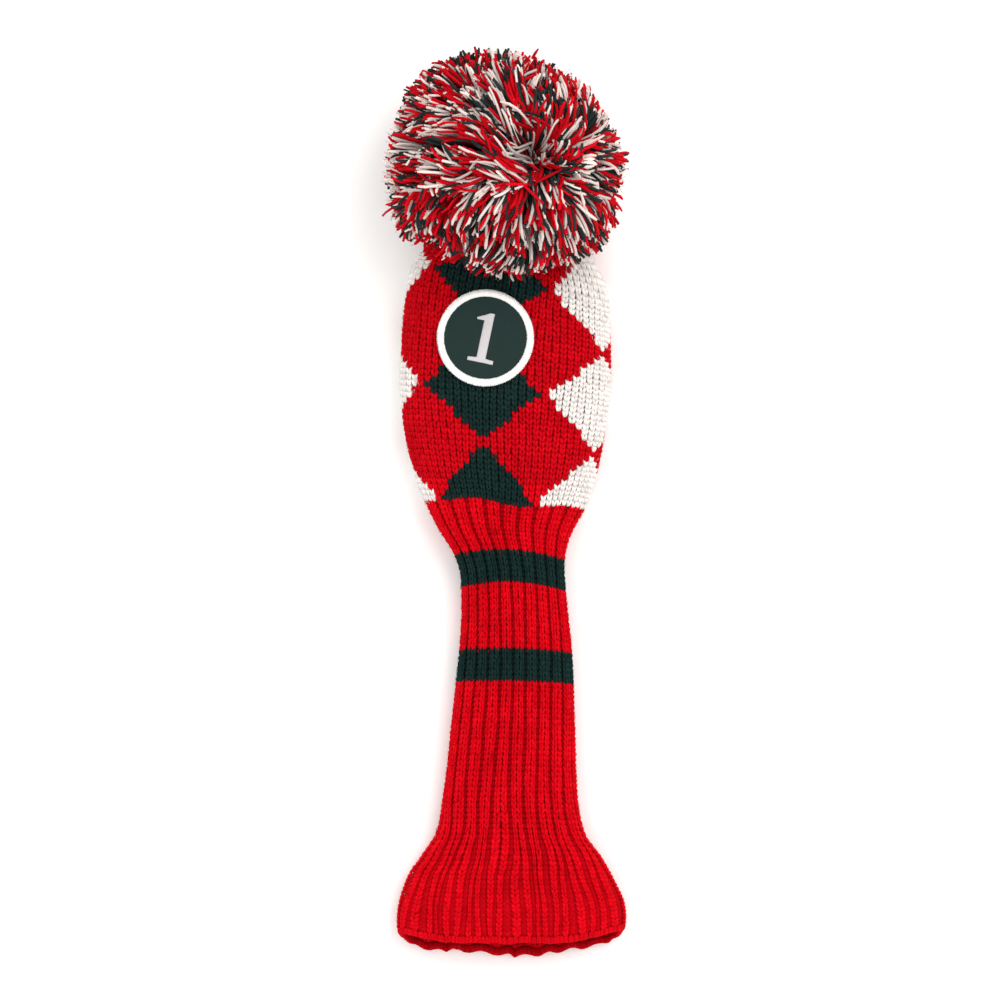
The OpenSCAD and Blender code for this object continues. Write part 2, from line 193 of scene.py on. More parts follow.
def tube_y(x, z):
    """Courses are not straight: they slope, bow, and wander at the mouth and the rib."""
    slope = np.interp(GRID_V, [-226, -100, -2, 53.5, 108, 137],
                      [0, 0.02, 0.052, 0.105, 0.2126, 0.02])[:, None]
    bow = np.interp(GRID_V, [-226, -170, -92, -76, -45, -29, -12, 6],
                    [0, 0, 0.8, 1.2, 3.0, 3.2, 1.6, 0])[:, None]
    height = (z - under) / (top - under)
    side = (x - centre_x) / half
    v = GRID_V[:, None]
    near_mouth = np.clip(1 - (v - Y_MOUTH) / 45.0, 0, 1)
    lag = np.where(height > 0, 9.5, 6.0) * np.abs(side) ** 3 * np.where(side < 0, 0.75, 1.0)
    return (v - slope * (x - centre_x)
            + bow * (1 - side**2) * np.clip(height * 1.6 - 0.6, -0.3, 1)
            + near_mouth * (lag + 5.5 * np.clip(height, 0, 1) - 1.0)
            + 1.9 * np.cos(np.pi * (x + 20) / 27) * np.exp(-((v - Y_RIB) / 10) ** 2)
            * np.clip(height * 1.5, 0, 1) * (1 - side**2))


grid_x, grid_z, ROUND_LENGTH = tube_sections()
GRID = np.stack([grid_x, tube_y(grid_x, grid_z), grid_z], -1)
NORMALS = unit(np.cross(np.roll(GRID, -1, 1) - np.roll(GRID, 1, 1),
                        np.gradient(GRID, axis=0)), 1e-12)


def lookup(grid, u, v):
    column = np.mod(u, COLUMNS) * PER_COLUMN
    i0 = np.floor(column).astype(int) % GRID_COLS
    i1 = (i0 + 1) % GRID_COLS
    s = (column - np.floor(column))[..., None]
    row = np.clip(v - GRID_V[0], 0, GRID_ROWS - 1.001)
    j = np.floor(row).astype(int)
    t = (row - j)[..., None]
    return ((grid[j, i0] * (1 - s) + grid[j, i1] * s) * (1 - t)
            + (grid[j + 1, i0] * (1 - s) + grid[j + 1, i1] * s) * t)


def unevenness(u, v):
    """Small uneven places in the cloth: sideways drift in columns, and depth in mm."""
    turn = 2 * np.pi * u / COLUMNS
    drift = (0.10 * np.sin(3 * turn + v * 0.045 + 1.0) + 0.07 * np.sin(7 * turn - v * 0.08 + 2.1)
             + 0.05 * np.sin(11 * turn + v * 0.17))
    depth = (0.35 * np.sin(2 * turn + v * 0.05 + 0.3) * np.sin(v * 0.037 + 1.7)
             + 0.25 * np.sin(5 * turn - v * 0.09))
    flare = np.clip((-140 - v) / 30.0, 0, 1)
    drift = drift + flare * (0.34 * np.sin(5 * turn + 0.8) + 0.26 * np.sin(9 * turn + v * 0.03)
                             + 0.16 * np.sin(15 * turn - v * 0.05 + 1.3))
    depth = depth - flare * (0.55 + 0.55 * np.sin(7 * turn + v * 0.02 + 0.5))
    return drift, depth


def cloth_point(u, v, height):
    """Cloth coordinates, and a height above the surface, to millimetres."""
    drift, depth = unevenness(u, v)
    normal = unit(lookup(NORMALS, u + drift, v), 1e-12)
    lift = (height + np.minimum(depth - 0.3, 0) * 0.8)[..., None]
    point = lookup(GRID, u + drift, v) + normal * lift
    # the open edge is uneven: each rib ends in a small scallop, most on the underside
    near_edge = np.exp(-((v - Y_MOUTH) / 6.0) ** 2)
    turn = 2 * np.pi * u / COLUMNS
    below = np.clip(-1.6 * np.cos(turn), 0, 1)
    point[..., 1] += near_edge * (
        (0.22 + 0.62 * below) * np.cos(2 * np.pi * (u - 1.0) / 3)
        + (0.30 + 0.75 * below) * np.sin(2 * np.pi * u / 12.0 + 0.5 + np.sin(turn)))
    return point


def column_width(v):
    return np.interp(v, GRID_V, ROUND_LENGTH) / COLUMNS


# ---------------------------------------------------------------- meshes from arrays
def make_mesh(name, points, quads, tris, uv, attributes):
    """uv holds one pair for each loop, the quads' loops first."""
    mesh = bpy.data.meshes.new(name)
    mesh.vertices.add(len(points))
    mesh.vertices.foreach_set("co", (np.asarray(points, np.float32) * 0.001).ravel())
    loops = np.concatenate([quads.ravel(), tris.ravel()]).astype(np.int32)
    mesh.loops.add(len(loops))
    mesh.loops.foreach_set("vertex_index", loops)
    quad_count, tri_count = len(quads), len(tris)
    mesh.polygons.add(quad_count + tri_count)
    starts = np.concatenate([np.arange(quad_count) * 4, quad_count * 4 + np.arange(tri_count) * 3])
    mesh.polygons.foreach_set("loop_start", starts.astype(np.int32))
    mesh.polygons.foreach_set("use_smooth", np.full(quad_count + tri_count, True))
    mesh.update(calc_edges=True)
    layer = mesh.uv_layers.new(name="OFBake")
    layer.data.foreach_set("uv", uv.astype(np.float32).ravel())
    for key, values in attributes.items():
        kind, field = ("FLOAT_VECTOR", "vector") if values.ndim == 2 else ("FLOAT", "value")
        attribute = mesh.attributes.new(key, kind, "POINT")
        attribute.data.foreach_set(field, values.astype(np.float32).ravel())
    mesh.validate()
    ob = bpy.data.objects.new(name, mesh)
    bpy.context.scene.collection.objects.link(ob)
    return ob


def tube_faces(count, rings, sides):
    """Faces of closed tubes, and a bake layout with one square cell for each tube."""
    first = (np.arange(count) * (rings * sides + 2))[:, None, None]
    k = np.arange(rings - 1)[:, None]
    s = np.arange(sides)
    after = (s + 1) % sides
    last = (rings - 1) * sides
    corners = (k * sides + s, k * sides + after, (k + 1) * sides + after, (k + 1) * sides + s)
    quads = (np.stack([c.ravel() for c in corners], -1)[None] + first).reshape(-1, 4)
    start_cap = np.stack([np.full(sides, rings * sides), after, s], -1)
    end_cap = np.stack([np.full(sides, rings * sides + 1), last + s, last + after], -1)
    tris = (np.concatenate([start_cap, end_cap])[None] + first).reshape(-1, 3)

    cells = int(math.ceil(math.sqrt(count)))
    cell = np.stack([(np.arange(count) % cells) / cells, (np.arange(count) // cells) / cells], -1)
    margin = 0.06       # round each cell
    cap = 0.08          # height of the strip kept for each cap
    ring = np.repeat(np.arange(rings - 1), sides)
    side = np.tile(s, rings - 1)
    u0, u1 = side / sides, (side + 1) / sides
    v0, v1 = (cap + 0.84 * r / (rings - 1) for r in (ring, ring + 1))
    quad_uv = np.stack([np.stack(pair, -1) for pair in ((u0, v0), (u1, v0), (u1, v1), (u0, v1))], 1)

    def cap_uv(tip_v, base_v, base_1, base_2):
        pairs = (((s + 0.5) / sides, np.full(sides, tip_v)),
                 (base_1 / sides, np.full(sides, base_v)),
                 (base_2 / sides, np.full(sides, base_v)))
        return np.stack([np.stack(pair, -1) for pair in pairs], 1)

    tri_uv = np.concatenate([cap_uv(0.0, cap, s + 1, s), cap_uv(1.0, 0.92, s, s + 1)])

    def place(uv):
        uv = (margin + (1 - 2 * margin) * uv) / cells
        uv = uv[None] + cell[:, None, None, :]
        return uv.reshape(-1, uv.shape[2], 2)

    return quads, tris, place(quad_uv), place(tri_uv)


def finish_tubes(name, rings, ends, path, shade):
    """rings: tube, point, side, xyz; ends: tube, 2, xyz; path: centre lines, for yarn length."""
    count, points, sides = rings.shape[:3]
    chance = rng.random(count)
    verts = np.concatenate([rings.reshape(count, -1, 3), ends], 1).reshape(-1, 3)
    verts[:, 2] = np.maximum(verts[:, 2], 0.03)
    steps = np.linalg.norm(np.diff(path, axis=1), axis=-1)
    along = np.concatenate([np.zeros((count, 1)), np.cumsum(steps, 1)], 1)
    shape = (count, points, sides)
    # the yarn attribute: length along, turn around, a chance value for each tube
    yarn = np.stack([np.broadcast_to(along[:, :, None], shape),
                     np.broadcast_to(np.arange(sides) / sides, shape),
                     np.broadcast_to(chance[:, None, None], shape)], -1).reshape(count, -1, 3)
    end_yarn = np.stack([np.stack([along[:, k], np.zeros(count), chance], -1) for k in (0, -1)], 1)
    yarn = np.concatenate([yarn, end_yarn], 1).reshape(-1, 3)
    quads, tris, quad_uv, tri_uv = tube_faces(count, points, sides)
    # outward faces: the signed volume of the first tube says which way round they are
    corners = verts[quads[: (points - 1) * sides]] - verts[: points * sides + 2].mean(0)
    a, b, c, d = (corners[:, k] for k in range(4))
    if np.sum(a * (np.cross(b, c) + np.cross(c, d))) < 0:
        quads, tris, quad_uv, tri_uv = (x[:, ::-1] for x in (quads, tris, quad_uv, tri_uv))
    shade = np.broadcast_to(shade, (count, points))
    shade = np.concatenate([np.repeat(shade, sides, 1), shade[:, :1], shade[:, -1:]], 1).ravel()
    uv = np.concatenate([quad_uv.reshape(-1, 2), tri_uv.reshape(-1, 2)])
    return make_mesh(name, verts, quads, tris, uv, {"yarn": yarn, "shade": shade})


def tangents(path):
    return unit(np.gradient(path, axis=1), 1e-9)


def cloth_tubes(name, u, v, across, along, height, wide, thick, shade=1.0, sides=6):
    """Yarn pieces on the cloth, as offsets in mm from (u, v); wide and thick are radii."""
    path = np.stack([across, along, height], -1)
    tangent = tangents(path)
    flat = np.stack([tangent[..., 1], -tangent[..., 0], np.zeros_like(across)], -1)
    flat = unit(flat, 1e-9)
    normal = np.cross(flat, tangent)
    normal *= np.sign(normal[..., 2:3] + 1e-9)
    angle = (-np.pi / 2 + 2 * np.pi * np.arange(sides) / sides)[None, None, :, None]
    rings = (path[:, :, None] + wide[:, :, None, None] * np.cos(angle) * flat[:, :, None]
             + thick[:, :, None, None] * np.sin(angle) * normal[:, :, None])
    ends = np.stack([path[:, 0] - tangent[:, 0] * wide[:, :1] * 0.5,
                     path[:, -1] + tangent[:, -1] * wide[:, -1:] * 0.5], 1)
    width = column_width(v)

    def on_cloth(offset):
        shape = (len(u),) + (1,) * (offset.ndim - 2)
        return cloth_point(u.reshape(shape) + offset[..., 0] / width.reshape(shape),
                           v.reshape(shape) + offset[..., 1], offset[..., 2])

    return finish_tubes(name, on_cloth(rings), on_cloth(ends), path, shade)


def free_tubes(name, path, radius, sides=6, shade=1.0):
    """Yarn pieces in space: path is tube, point, xyz in mm."""
    radius = np.broadcast_to(radius, path.shape[:2])
    tangent = tangents(path)
    upward = np.tile(np.array([0.31, 0.23, 0.92]), (len(path), 1))
    overall = unit(tangent.mean(1), 1e-9)
    too_close = np.abs((overall * upward).sum(-1)) > 0.8
    upward[too_close] = np.array([0.9, -0.3, 0.1])
    flat = unit(np.cross(tangent, upward[:, None]), 1e-9)
    normal = np.cross(flat, tangent)
    angle = (2 * np.pi * np.arange(sides) / sides)[None, None, :, None]
    rings = path[:, :, None] + radius[:, :, None, None] * (
        np.cos(angle) * flat[:, :, None] + np.sin(angle) * normal[:, :, None])
    ends = np.stack([path[:, 0] - tangent[:, 0] * radius[:, :1] * 0.4,
                     path[:, -1] + tangent[:, -1] * radius[:, -1:] * 0.3], 1)
    return finish_tubes(name, rings, ends, path, shade)


# ---------------------------------------------------------------- materials
def linear(rgb):
    """sRGB, 0 to 255, to linear."""
    c = np.asarray(rgb, float) / 255.0
    return np.where(c <= 0.04045, c / 12.92, ((c + 0.055) / 1.055) ** 2.4)


def rgba(colour):
    return (*np.clip(colour, 0, 1), 1)


def new_material(name):
    material = bpy.data.materials.new(name)
    material.use_nodes = True
    return material, material.node_tree, material.node_tree.nodes["Principled BSDF"]


def set_inputs(tree, node, inputs):
    """Give each input a value, or link it to another node's output."""
    for key, value in inputs.items():
        if isinstance(value, bpy.types.NodeSocket):
            tree.links.new(value, node.inputs[key])
        else:
            node.inputs[key].default_value = value


def add_node(tree, kind, inputs=None, **settings):
    node = tree.nodes.new("ShaderNode" + kind)
    for key, value in settings.items():
        setattr(node, key, value)
    set_inputs(tree, node, inputs or {})
    return node


def math_node(tree, operation, *operands):
    return add_node(tree, "Math", dict(enumerate(operands)), operation=operation).outputs[0]


def object_coords(tree):
    return add_node(tree, "TexCoord").outputs["Object"]


def noise(tree, coords, scale, detail=2):
    inputs = {"Vector": coords, "Scale": scale, "Detail": detail}
    return add_node(tree, "TexNoise", inputs).outputs["Fac"]


def mix_colours(tree, inputs, **settings):
    return add_node(tree, "Mix", inputs, data_type="RGBA", **settings).outputs["Result"]


def bump_normal(tree, height, strength, distance):
    inputs = {"Strength": strength, "Distance": distance, "Height": height}
    return add_node(tree, "Bump", inputs).outputs["Normal"]


def yarn_material(name, rgb, vary=0.10, rough=0.85, sheen=0.35, ply=1.7, bump=0.22, dark=0.55):
    """Yarn of two plies, with painted shade: darker in the ply hollows and lighter on the crests,
    mixed with random tone. vary: lightening of high places; ply, bump: mm; dark: hollows.
    """
    material, tree, bsdf = new_material(name)

    def calc(*args):
        return math_node(tree, *args)

    yarn = add_node(tree, "Attribute", attribute_name="yarn").outputs["Vector"]
    along, around, chance = add_node(tree, "SeparateXYZ", {0: yarn}).outputs
    phase = calc("ADD", calc("MULTIPLY", along, 2 * math.pi / (2 * ply)),
                 calc("MULTIPLY", around, 2 * math.pi))
    twist = calc("ABSOLUTE", calc("SINE", phase))
    coords = object_coords(tree)
    fibres = noise(tree, coords, scale=2600, detail=3)
    patches = noise(tree, coords, scale=45)
    # painted shade: the twist term darkens the hollows between plies and lightens the crests;
    # fibres, chance and patches are random tone
    tone = calc("ADD", calc("MULTIPLY", twist, 0.35), calc("MULTIPLY", fibres, 0.45))
    tone = calc("ADD", tone, calc("MULTIPLY", chance, 0.22))
    tone = calc("ADD", tone, calc("MULTIPLY", calc("SUBTRACT", patches, 0.5), 0.5))
    base = linear(rgb)
    colour = mix_colours(tree, {"A": (*(base * dark), 1),
                                "B": rgba(base * (1 + 2.0 * vary) + 0.02 * vary),
                                "Factor": tone})
    # painted shade: the colour is scaled by the shade attribute, darker where stitches and strands
    # lie in shadow
    shade = add_node(tree, "Attribute", attribute_name="shade").outputs["Fac"]
    shaded = add_node(tree, "VectorMath", {0: colour, "Scale": shade}, operation="SCALE")
    bsdf.inputs["Roughness"].default_value = rough
    relief = calc("ADD", calc("MULTIPLY", twist, 0.8), calc("MULTIPLY", fibres, 0.6))
    set_inputs(tree, bsdf, {
        "Base Color": shaded.outputs["Vector"],
        "Roughness": calc("ADD", calc("MULTIPLY", fibres, 0.2), rough - 0.1),
        "Sheen Weight": sheen,
        "Sheen Roughness": 0.5,
        "Sheen Tint": rgba(base * 0.95 + 0.01),
        "Specular IOR Level": 0.10,
        "Specular Tint": rgba(base * 0.9 + 0.03),
        "Normal": bump_normal(tree, relief, strength=0.7, distance=bump * 0.001),
    })
    return material


def cloth_material(name, rgb, scale, dark=0.6, bump=0.2, tint=None):
    """Plain rough cloth; tint names an attribute that gives the colour instead of rgb."""
    material, tree, bsdf = new_material(name)
    grain = noise(tree, object_coords(tree), scale, detail=4)
    base = linear(rgb)
    if tint:
        attribute = add_node(tree, "Attribute", attribute_name=tint)
        level = mix_colours(tree, {"A": (0.55, 0.55, 0.55, 1), "B": (1.2, 1.2, 1.2, 1),
                                   "Factor": grain})
        colour = mix_colours(tree, {"Factor": 1.0, "A": attribute.outputs["Vector"], "B": level},
                             blend_type="MULTIPLY")
    else:
        colour = mix_colours(tree, {"A": (*(base * dark), 1), "B": rgba(base * 1.15),
                                    "Factor": grain})
    set_inputs(tree, bsdf, {
        "Base Color": colour,
        "Roughness": 0.9,
        "Specular IOR Level": 0.05,
        "Specular Tint": rgba(base),
        "Normal": bump_normal(tree, grain, strength=0.5, distance=bump * 0.001),
    })
    return material


def twill_material(name, rgb):
    """Woven twill: slanting bands 0.55 mm apart, roughened by noise."""
    pitch, angle, rough = 0.55, 0.9, 0.8
    material, tree, bsdf = new_material(name)
    coords = object_coords(tree)
    turned = add_node(tree, "Mapping", {"Rotation": (0, 0, angle), "Vector": coords})
    bands = add_node(tree, "TexWave", {
        "Vector": turned.outputs["Vector"],
        "Scale": 2 * math.pi / (20.0 * pitch * 0.001),
        "Distortion": 0.6,
        "Detail": 2,
        "Detail Scale": 2,
    }, wave_type="BANDS", bands_direction="X", wave_profile="SIN")
    grain = noise(tree, coords, scale=1800)
    patches = noise(tree, coords, scale=60)
    # painted shade: the relief also sets the colour, darker in the grooves between the slanting
    # bands; the grain part is random tone
    relief = math_node(tree, "MULTIPLY_ADD", bands.outputs["Fac"], 0.55,
                       math_node(tree, "MULTIPLY", grain, 0.5))
    base = linear(rgb)
    bsdf.inputs["Roughness"].default_value = rough
    set_inputs(tree, bsdf, {
        "Base Color": mix_colours(tree, {"A": (*(base * 0.62), 1), "B": rgba(base * 1.5),
                                         "Factor": relief}),
        "Roughness": math_node(tree, "MULTIPLY_ADD", patches, 0.25, rough - 0.1),
        "Specular IOR Level": 0.05,
        "Normal": bump_normal(tree, relief, strength=0.6, distance=0.00018),
    })
    return material


def pom_material(name, rgb, **tuning):
    return yarn_material(name, rgb, ply=1.15, bump=0.42, **tuning)


M_RED = yarn_material("red knit yarn", (200, 5, 21), sheen=0.06)
# painted light: the same red yarn as M_RED, made lighter to offset the deeper shade of the rib
M_RED_RIB = yarn_material("red yarn lightened for the rib", (216, 5, 22), sheen=0.06)
M_GREEN = yarn_material("green knit yarn", (20, 41, 39), vary=0.20, sheen=0.05, dark=0.6)
M_WHITE = yarn_material("white knit yarn", (239, 233, 229), vary=0.02, sheen=0.05, dark=0.76)
M_POM_RED = pom_material("red pom yarn", (206, 10, 26), dark=0.42, sheen=0.12)
M_POM_WHITE = pom_material("white pom yarn", (238, 222, 216), vary=0.03, dark=0.62, sheen=0.10)
M_POM_GREEN = pom_material("green pom yarn", (33, 41, 41), vary=0.25, dark=0.5, sheen=0.08)


def dress(ob, material, bodies, replaced=()):
    """Material, and the body it moves with: one body name attaches the piece to it; a pair of
    bodies with a blend range in metres is not used, the piece only has its transform baked in. The
    parts it replaces are hidden.
    """
    ob.data.materials.append(material)
    if isinstance(bodies, str):
        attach(ob, bodies)
    else:
        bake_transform(ob)
    if replaced:
        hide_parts(*replaced)


# ---------------------------------------------------------------- zones along the cover
# a zone moves with its body; where it would bend into the next body it names that one too, with a
# blend range, but dress only bakes these pieces in place
Zone = namedtuple("Zone", "name top bottom body next_body")
STRIPE_1_MID = sum(STRIPE_1) / 2
BETWEEN_STRIPES = (STRIPE_1[1] + STRIPE_2[0]) / 2
STRIPE_2_MID = sum(STRIPE_2) / 2
ZONES = [
    Zone("head", 140, 8, "head", None),
    Zone("nape", 8, -16, "head", "neck_top"),
    Zone("neck1", -16, STRIPE_1_MID, "neck_top", "neck_band_1"),
    Zone("neck2", STRIPE_1_MID, BETWEEN_STRIPES, "neck_band_1", "neck_mid"),
    Zone("neck3", BETWEEN_STRIPES, STRIPE_2_MID, "neck_mid", "neck_band_2"),
    Zone("neck4", STRIPE_2_MID, STRIPE_2[1] - 9, "neck_band_2", "neck_low"),
    Zone("sleeve", STRIPE_2[1] - 9, -150, "neck_low", None),
    Zone("flare", -150, -190, "neck_low", "cuff"),
    Zone("cuff", -190, -300, "cuff", None),
]


def zone_bodies(zone):
    if zone.next_body is None:
        return zone.body
    return zone.body, zone.next_body, zone.top * 0.001, zone.bottom * 0.001


def zone_index(v):
    return next(i for i, zone in enumerate(ZONES) if zone.bottom < v <= zone.top)


# ---------------------------------------------------------------- colours of the knitting
RED, GREEN, WHITE = range(3)
COLOUR_NAMES = ("red", "green", "white")
DIAMOND_ROWS = -1.0 + DIAMOND_PITCH * np.arange(4)
DIAMONDS = ((GREEN, (-3.0, 30.0)), (WHITE, (13.5, 46.5)))     # colour, centres in columns
DIAMOND_HALF_U, DIAMOND_HALF_V = 7.78, 26.5                   # columns, mm


def colour_at(u, v):
    colours = np.zeros(np.broadcast(u, v).shape, int)
    from_row = np.min([np.abs(v - row) for row in DIAMOND_ROWS], 0)
    for colour, centres in DIAMONDS:
        for centre in centres:
            from_centre = np.abs((u - centre + COLUMNS / 2) % COLUMNS - COLUMNS / 2)
            inside = from_centre / DIAMOND_HALF_U + from_row / DIAMOND_HALF_V < 1.0
            colours = np.where(inside, colour, colours)
    colours = np.where(v < Y_RIB, RED, colours)
    for upper, lower in (STRIPE_1, STRIPE_2):
        colours = np.where((v < upper) & (v > lower), GREEN, colours)
    return colours


def stitch_material(zone, colour):
    red = M_RED if zone.name == "head" else M_RED_RIB
    return (red, M_GREEN, M_WHITE)[colour]


# ---------------------------------------------------------------- stitches
# A batch is a tuple: u, v, across, along, height, wide, thick, shade (see cloth_tubes).
# One leg of a knit stitch from foot to head: position, thickness, and shade of head and rib; the
# shade is painted shade, darker at the foot and where the head tucks under the next stitch
LEG_T = np.array([0.0, 0.16, 0.36, 0.58, 0.8, 1.0])
LEG_SHAPE = np.array([0.42, 0.80, 1.0, 1.03, 0.88, 0.55])
LEG_SHADE = np.array([0.58, 0.82, 1.0, 1.06, 0.92, 0.66])
RIB_SHADE = np.array([0.82, 0.94, 1.0, 1.04, 0.99, 0.86])


def knit_legs(u, v, column, pitch, fat=0.240, shades=LEG_SHADE):
    """Both legs of knit stitches in a column of the given width: [(side, batch), ...]"""
    count = len(u)
    width = np.full(count, column)
    legs = []
    for side in (-1, 1):
        shift_x = rng.normal(0, 0.022, count) * width
        shift_y = rng.normal(0, 0.045, count) * pitch
        swell = 1 + rng.normal(0, 0.06, count)
        lean = 1 + rng.normal(0, 0.10, count)
        across = side * width[:, None] * (0.052 + (0.306 * lean)[:, None] * LEG_T ** 0.85)
        across = across + shift_x[:, None]
        along = pitch * (-0.56 + 1.50 * LEG_T)[None] + shift_y[:, None]
        radius = np.minimum(fat * width * swell, 0.95)[:, None]
        wide = radius * LEG_SHAPE[None]
        thick = np.minimum(wide * 0.98, 0.85)
        tuck = smoothstep((LEG_T - 0.55) / 0.45)      # the head goes under the next stitch
        foot = 1 - np.clip(LEG_T / 0.22, 0, 1)
        height = -radius * (1.0 + 0.75 * foot + 1.75 * tuck)[None]
        shade = np.tile(shades, (count, 1)) * (1 + rng.normal(0, 0.05, (count, 1)))
        legs.append((side, (u, v, across, along, height, wide, thick, shade)))
    return legs


stitches = {}           # (zone index, colour): batches


def add_by_colour(zone, colours, batch):
    for colour in (RED, GREEN, WHITE):
        chosen = colours == colour
        if chosen.any():
            part = tuple(values[chosen] for values in batch)
            stitches.setdefault((zone, colour), []).append(part)


def merge(batches):
    return [np.concatenate(values) for values in zip(*batches)]


# plain knitting of the head
for course in np.arange(Y_RIB + 1.0, 134.5, HEAD_PITCH):
    u = np.arange(COLUMNS) + 0.5
    v = np.full(COLUMNS, course) + rng.normal(0, 0.06, COLUMNS)
    colours = colour_at(u, v)
    for _, batch in knit_legs(u, v, column_width(course), HEAD_PITCH):
        add_by_colour(zone_index(course), colours, batch)

# two-by-one rib of the neck and cuff: pairs of knit columns with a purl column between
RIBS = COLUMNS // 3
RIB_U = 3.0 * np.arange(RIBS) + 1.0
BAR_T = np.linspace(-1, 1, 6)


def rib_closure(v):
    """How closed the ribs are: 1 in the neck, 0 at the open edge."""
    return float(np.interp(v, [-226, -205, -188, -172, -160], [0.0, 0.02, 0.22, 0.7, 1.0]))


def rib_rows(profile):
    return np.tile(profile, (RIBS, 1))


def bar_rise():
    """How bars across a column arch along v."""
    arch = rib_rows((0.30 - 0.55 * BAR_T * BAR_T) * RIB_PITCH * 0.5)
    return arch + rng.normal(0, 0.06, (RIBS, 1))


for course in np.arange(Y_RIB - 1.2, Y_MOUTH + 1.6, -RIB_PITCH):
    closed = rib_closure(course)
    column = float(column_width(course))
    zone = zone_index(course)
    knit = mix(closed, 1.16, 0.84)                    # width of a knit column, in columns
    offset = knit / 2 + 0.01 + 0.22 * (1 - closed)
    for sign in (-1, 1):
        u = RIB_U + sign * offset
        v = np.full(RIBS, course) + rng.normal(0, 0.05, RIBS)
        colours = colour_at(u, v)
        for side, batch in knit_legs(u, v, column * knit, RIB_PITCH, fat=0.262,
                                     shades=RIB_SHADE):
            drop = 0.60 * closed if side == sign else 0.0     # the outer legs lie lower
            height = batch[4] - drop + 0.12 * (1 - closed)
            add_by_colour(zone, colours, batch[:4] + (height,) + batch[5:])
    # purl column: a bar across, sunk between the ribs
    u = RIB_U + 1.5
    v = np.full(RIBS, course) + rng.normal(0, 0.08, RIBS)
    across = rib_rows(BAR_T * ((3 - 2 * offset - knit) * column / 2 + 0.5))
    along = bar_rise()
    height = rib_rows(-(mix(closed, 2.55, 1.85) + 0.35 * BAR_T * BAR_T))
    wide = rib_rows(mix(closed, 1.38, 1.8) * np.array([0.85, 0.97, 1, 1, 0.97, 0.85]))
    # painted shade: the sunk purl bars, and the links below, are darkened as grooves in shadow
    shade = rib_rows(np.array([0.8, 0.95, 1, 1, 0.95, 0.8])) * mix(closed, 0.60, 0.74)
    add_by_colour(zone, colour_at(u, v),
                  (u, v, across, along, height, wide, wide * mix(closed, 0.42, 0.30), shade))
    if closed < 0.9:
        # where the cuff opens, the link between the two columns of a rib shows as well
        across = rib_rows(BAR_T * ((2 * offset - knit) * column / 2 + 0.6))
        height = rib_rows(-(1.70 + 0.30 * closed + 0.3 * BAR_T * BAR_T))
        add_by_colour(zone, np.full(RIBS, RED),
                      (RIB_U, v, across, along, height, wide, wide * 0.30, shade))

REPLACED = {
    ("head", RED): ["head_knit_red", "crown_knit"],
    ("head", GREEN): ["head_diamonds_green"],
    ("head", WHITE): ["head_diamonds_white"],
    ("nape", RED): ["neck_rib_upper"],
    ("neck1", GREEN): ["neck_stripe_upper"],
    ("neck2", RED): ["neck_rib_middle"],
    ("neck3", GREEN): ["neck_stripe_lower"],
    ("sleeve", RED): ["neck_rib_lower"],
    ("cuff", RED): ["cuff_rib"],
}
MESH_LIMIT = 190000     # faces in one mesh, about
for (index, colour), batches in sorted(stitches.items()):
    zone = ZONES[index]
    merged = merge(batches)
    pieces = max(1, math.ceil(len(merged[0]) * 72 / MESH_LIMIT))
    order = np.argsort(merged[1], kind="stable")
    for k, chosen in enumerate(np.array_split(order, pieces)):
        name = f"{zone.name}_{COLOUR_NAMES[colour]}_stitches" + (f"_{k + 1}" if pieces > 1 else "")
        replaced = REPLACED.get((zone.name, colour), ()) if k == 0 else ()
        dress(cloth_tubes(name, *[values[chosen] for values in merged]),
              stitch_material(zone, colour),
              zone_bodies(zone), replaced)

# the inside face near the mouth, darkened with painted shade
inside = []
for course in np.arange(Y_MOUTH + 1.2, Y_MOUTH + 26, RIB_PITCH):
    closed = rib_closure(course)
    column = float(column_width(course))
    knit = mix(closed, 1.24, 0.92)
    offset = knit / 2 + 0.02 + 0.10 * (1 - closed)
    v = np.full(RIBS, course)
    for sign in (-1, 1):
        wide = rib_rows(0.82 * np.array([0.7, 0.95, 1, 1, 0.95, 0.7]))
        inside.append((RIB_U + sign * offset, v, rib_rows(BAR_T * (knit * column / 2 + 0.35)),
                       bar_rise(), rib_rows(-(3.25 - 0.3 * BAR_T * BAR_T)), wide, wide * 0.85,
                       np.full((RIBS, 6), 0.85)))
    for _, batch in knit_legs(RIB_U + 1.5, v, column, RIB_PITCH):
        inside.append(batch[:4] + (-3.2 - (batch[4] + 0.8),) + batch[5:])
dress(cloth_tubes("cuff_inside_stitches", *merge(inside)), M_RED_RIB, "cuff")


def bind_off():
    """Loops that wrap round the open edge, two for each stitch column."""
    count = COLUMNS * 2
    u = np.arange(count) * (COLUMNS / count) + 0.33
    t = np.linspace(0, 1, 9)
    angle = np.pi * t
    ridge = (0.5 + 0.5 * np.cos(2 * np.pi * (u - 1.0) / 1.5))[:, None]
    across = np.tile((t - 0.5) * 0.9, (count, 1)) + rng.normal(0, 0.12, (count, 1))
    along = 2.7 - ((3.3 + 0.35 * ridge) * np.sin(angle)[None] ** 0.8
                   * (1 + rng.normal(0, 0.07, (count, 1))))
    height = -1.35 + 0.35 * ridge * (1 - t)[None] - 2.1 * (0.5 - 0.5 * np.cos(angle))[None]
    wide = (1.25 * np.sin(np.pi * (0.2 + 0.6 * t))[None] ** 0.3
            * (1 + rng.normal(0, 0.06, (count, 1))))
    # painted shade: the loops darken as they turn in over the edge
    shade = np.interp(t, [0, 0.4, 1], [0.95, 0.86, 0.6])
    return cloth_tubes("cuff_bind_off_loops", u, np.full(count, Y_MOUTH - 0.1),
                       across, along, height, wide, wide * 0.8, shade)


dress(bind_off(), M_RED_RIB, "cuff", ["cuff_bind_off"])


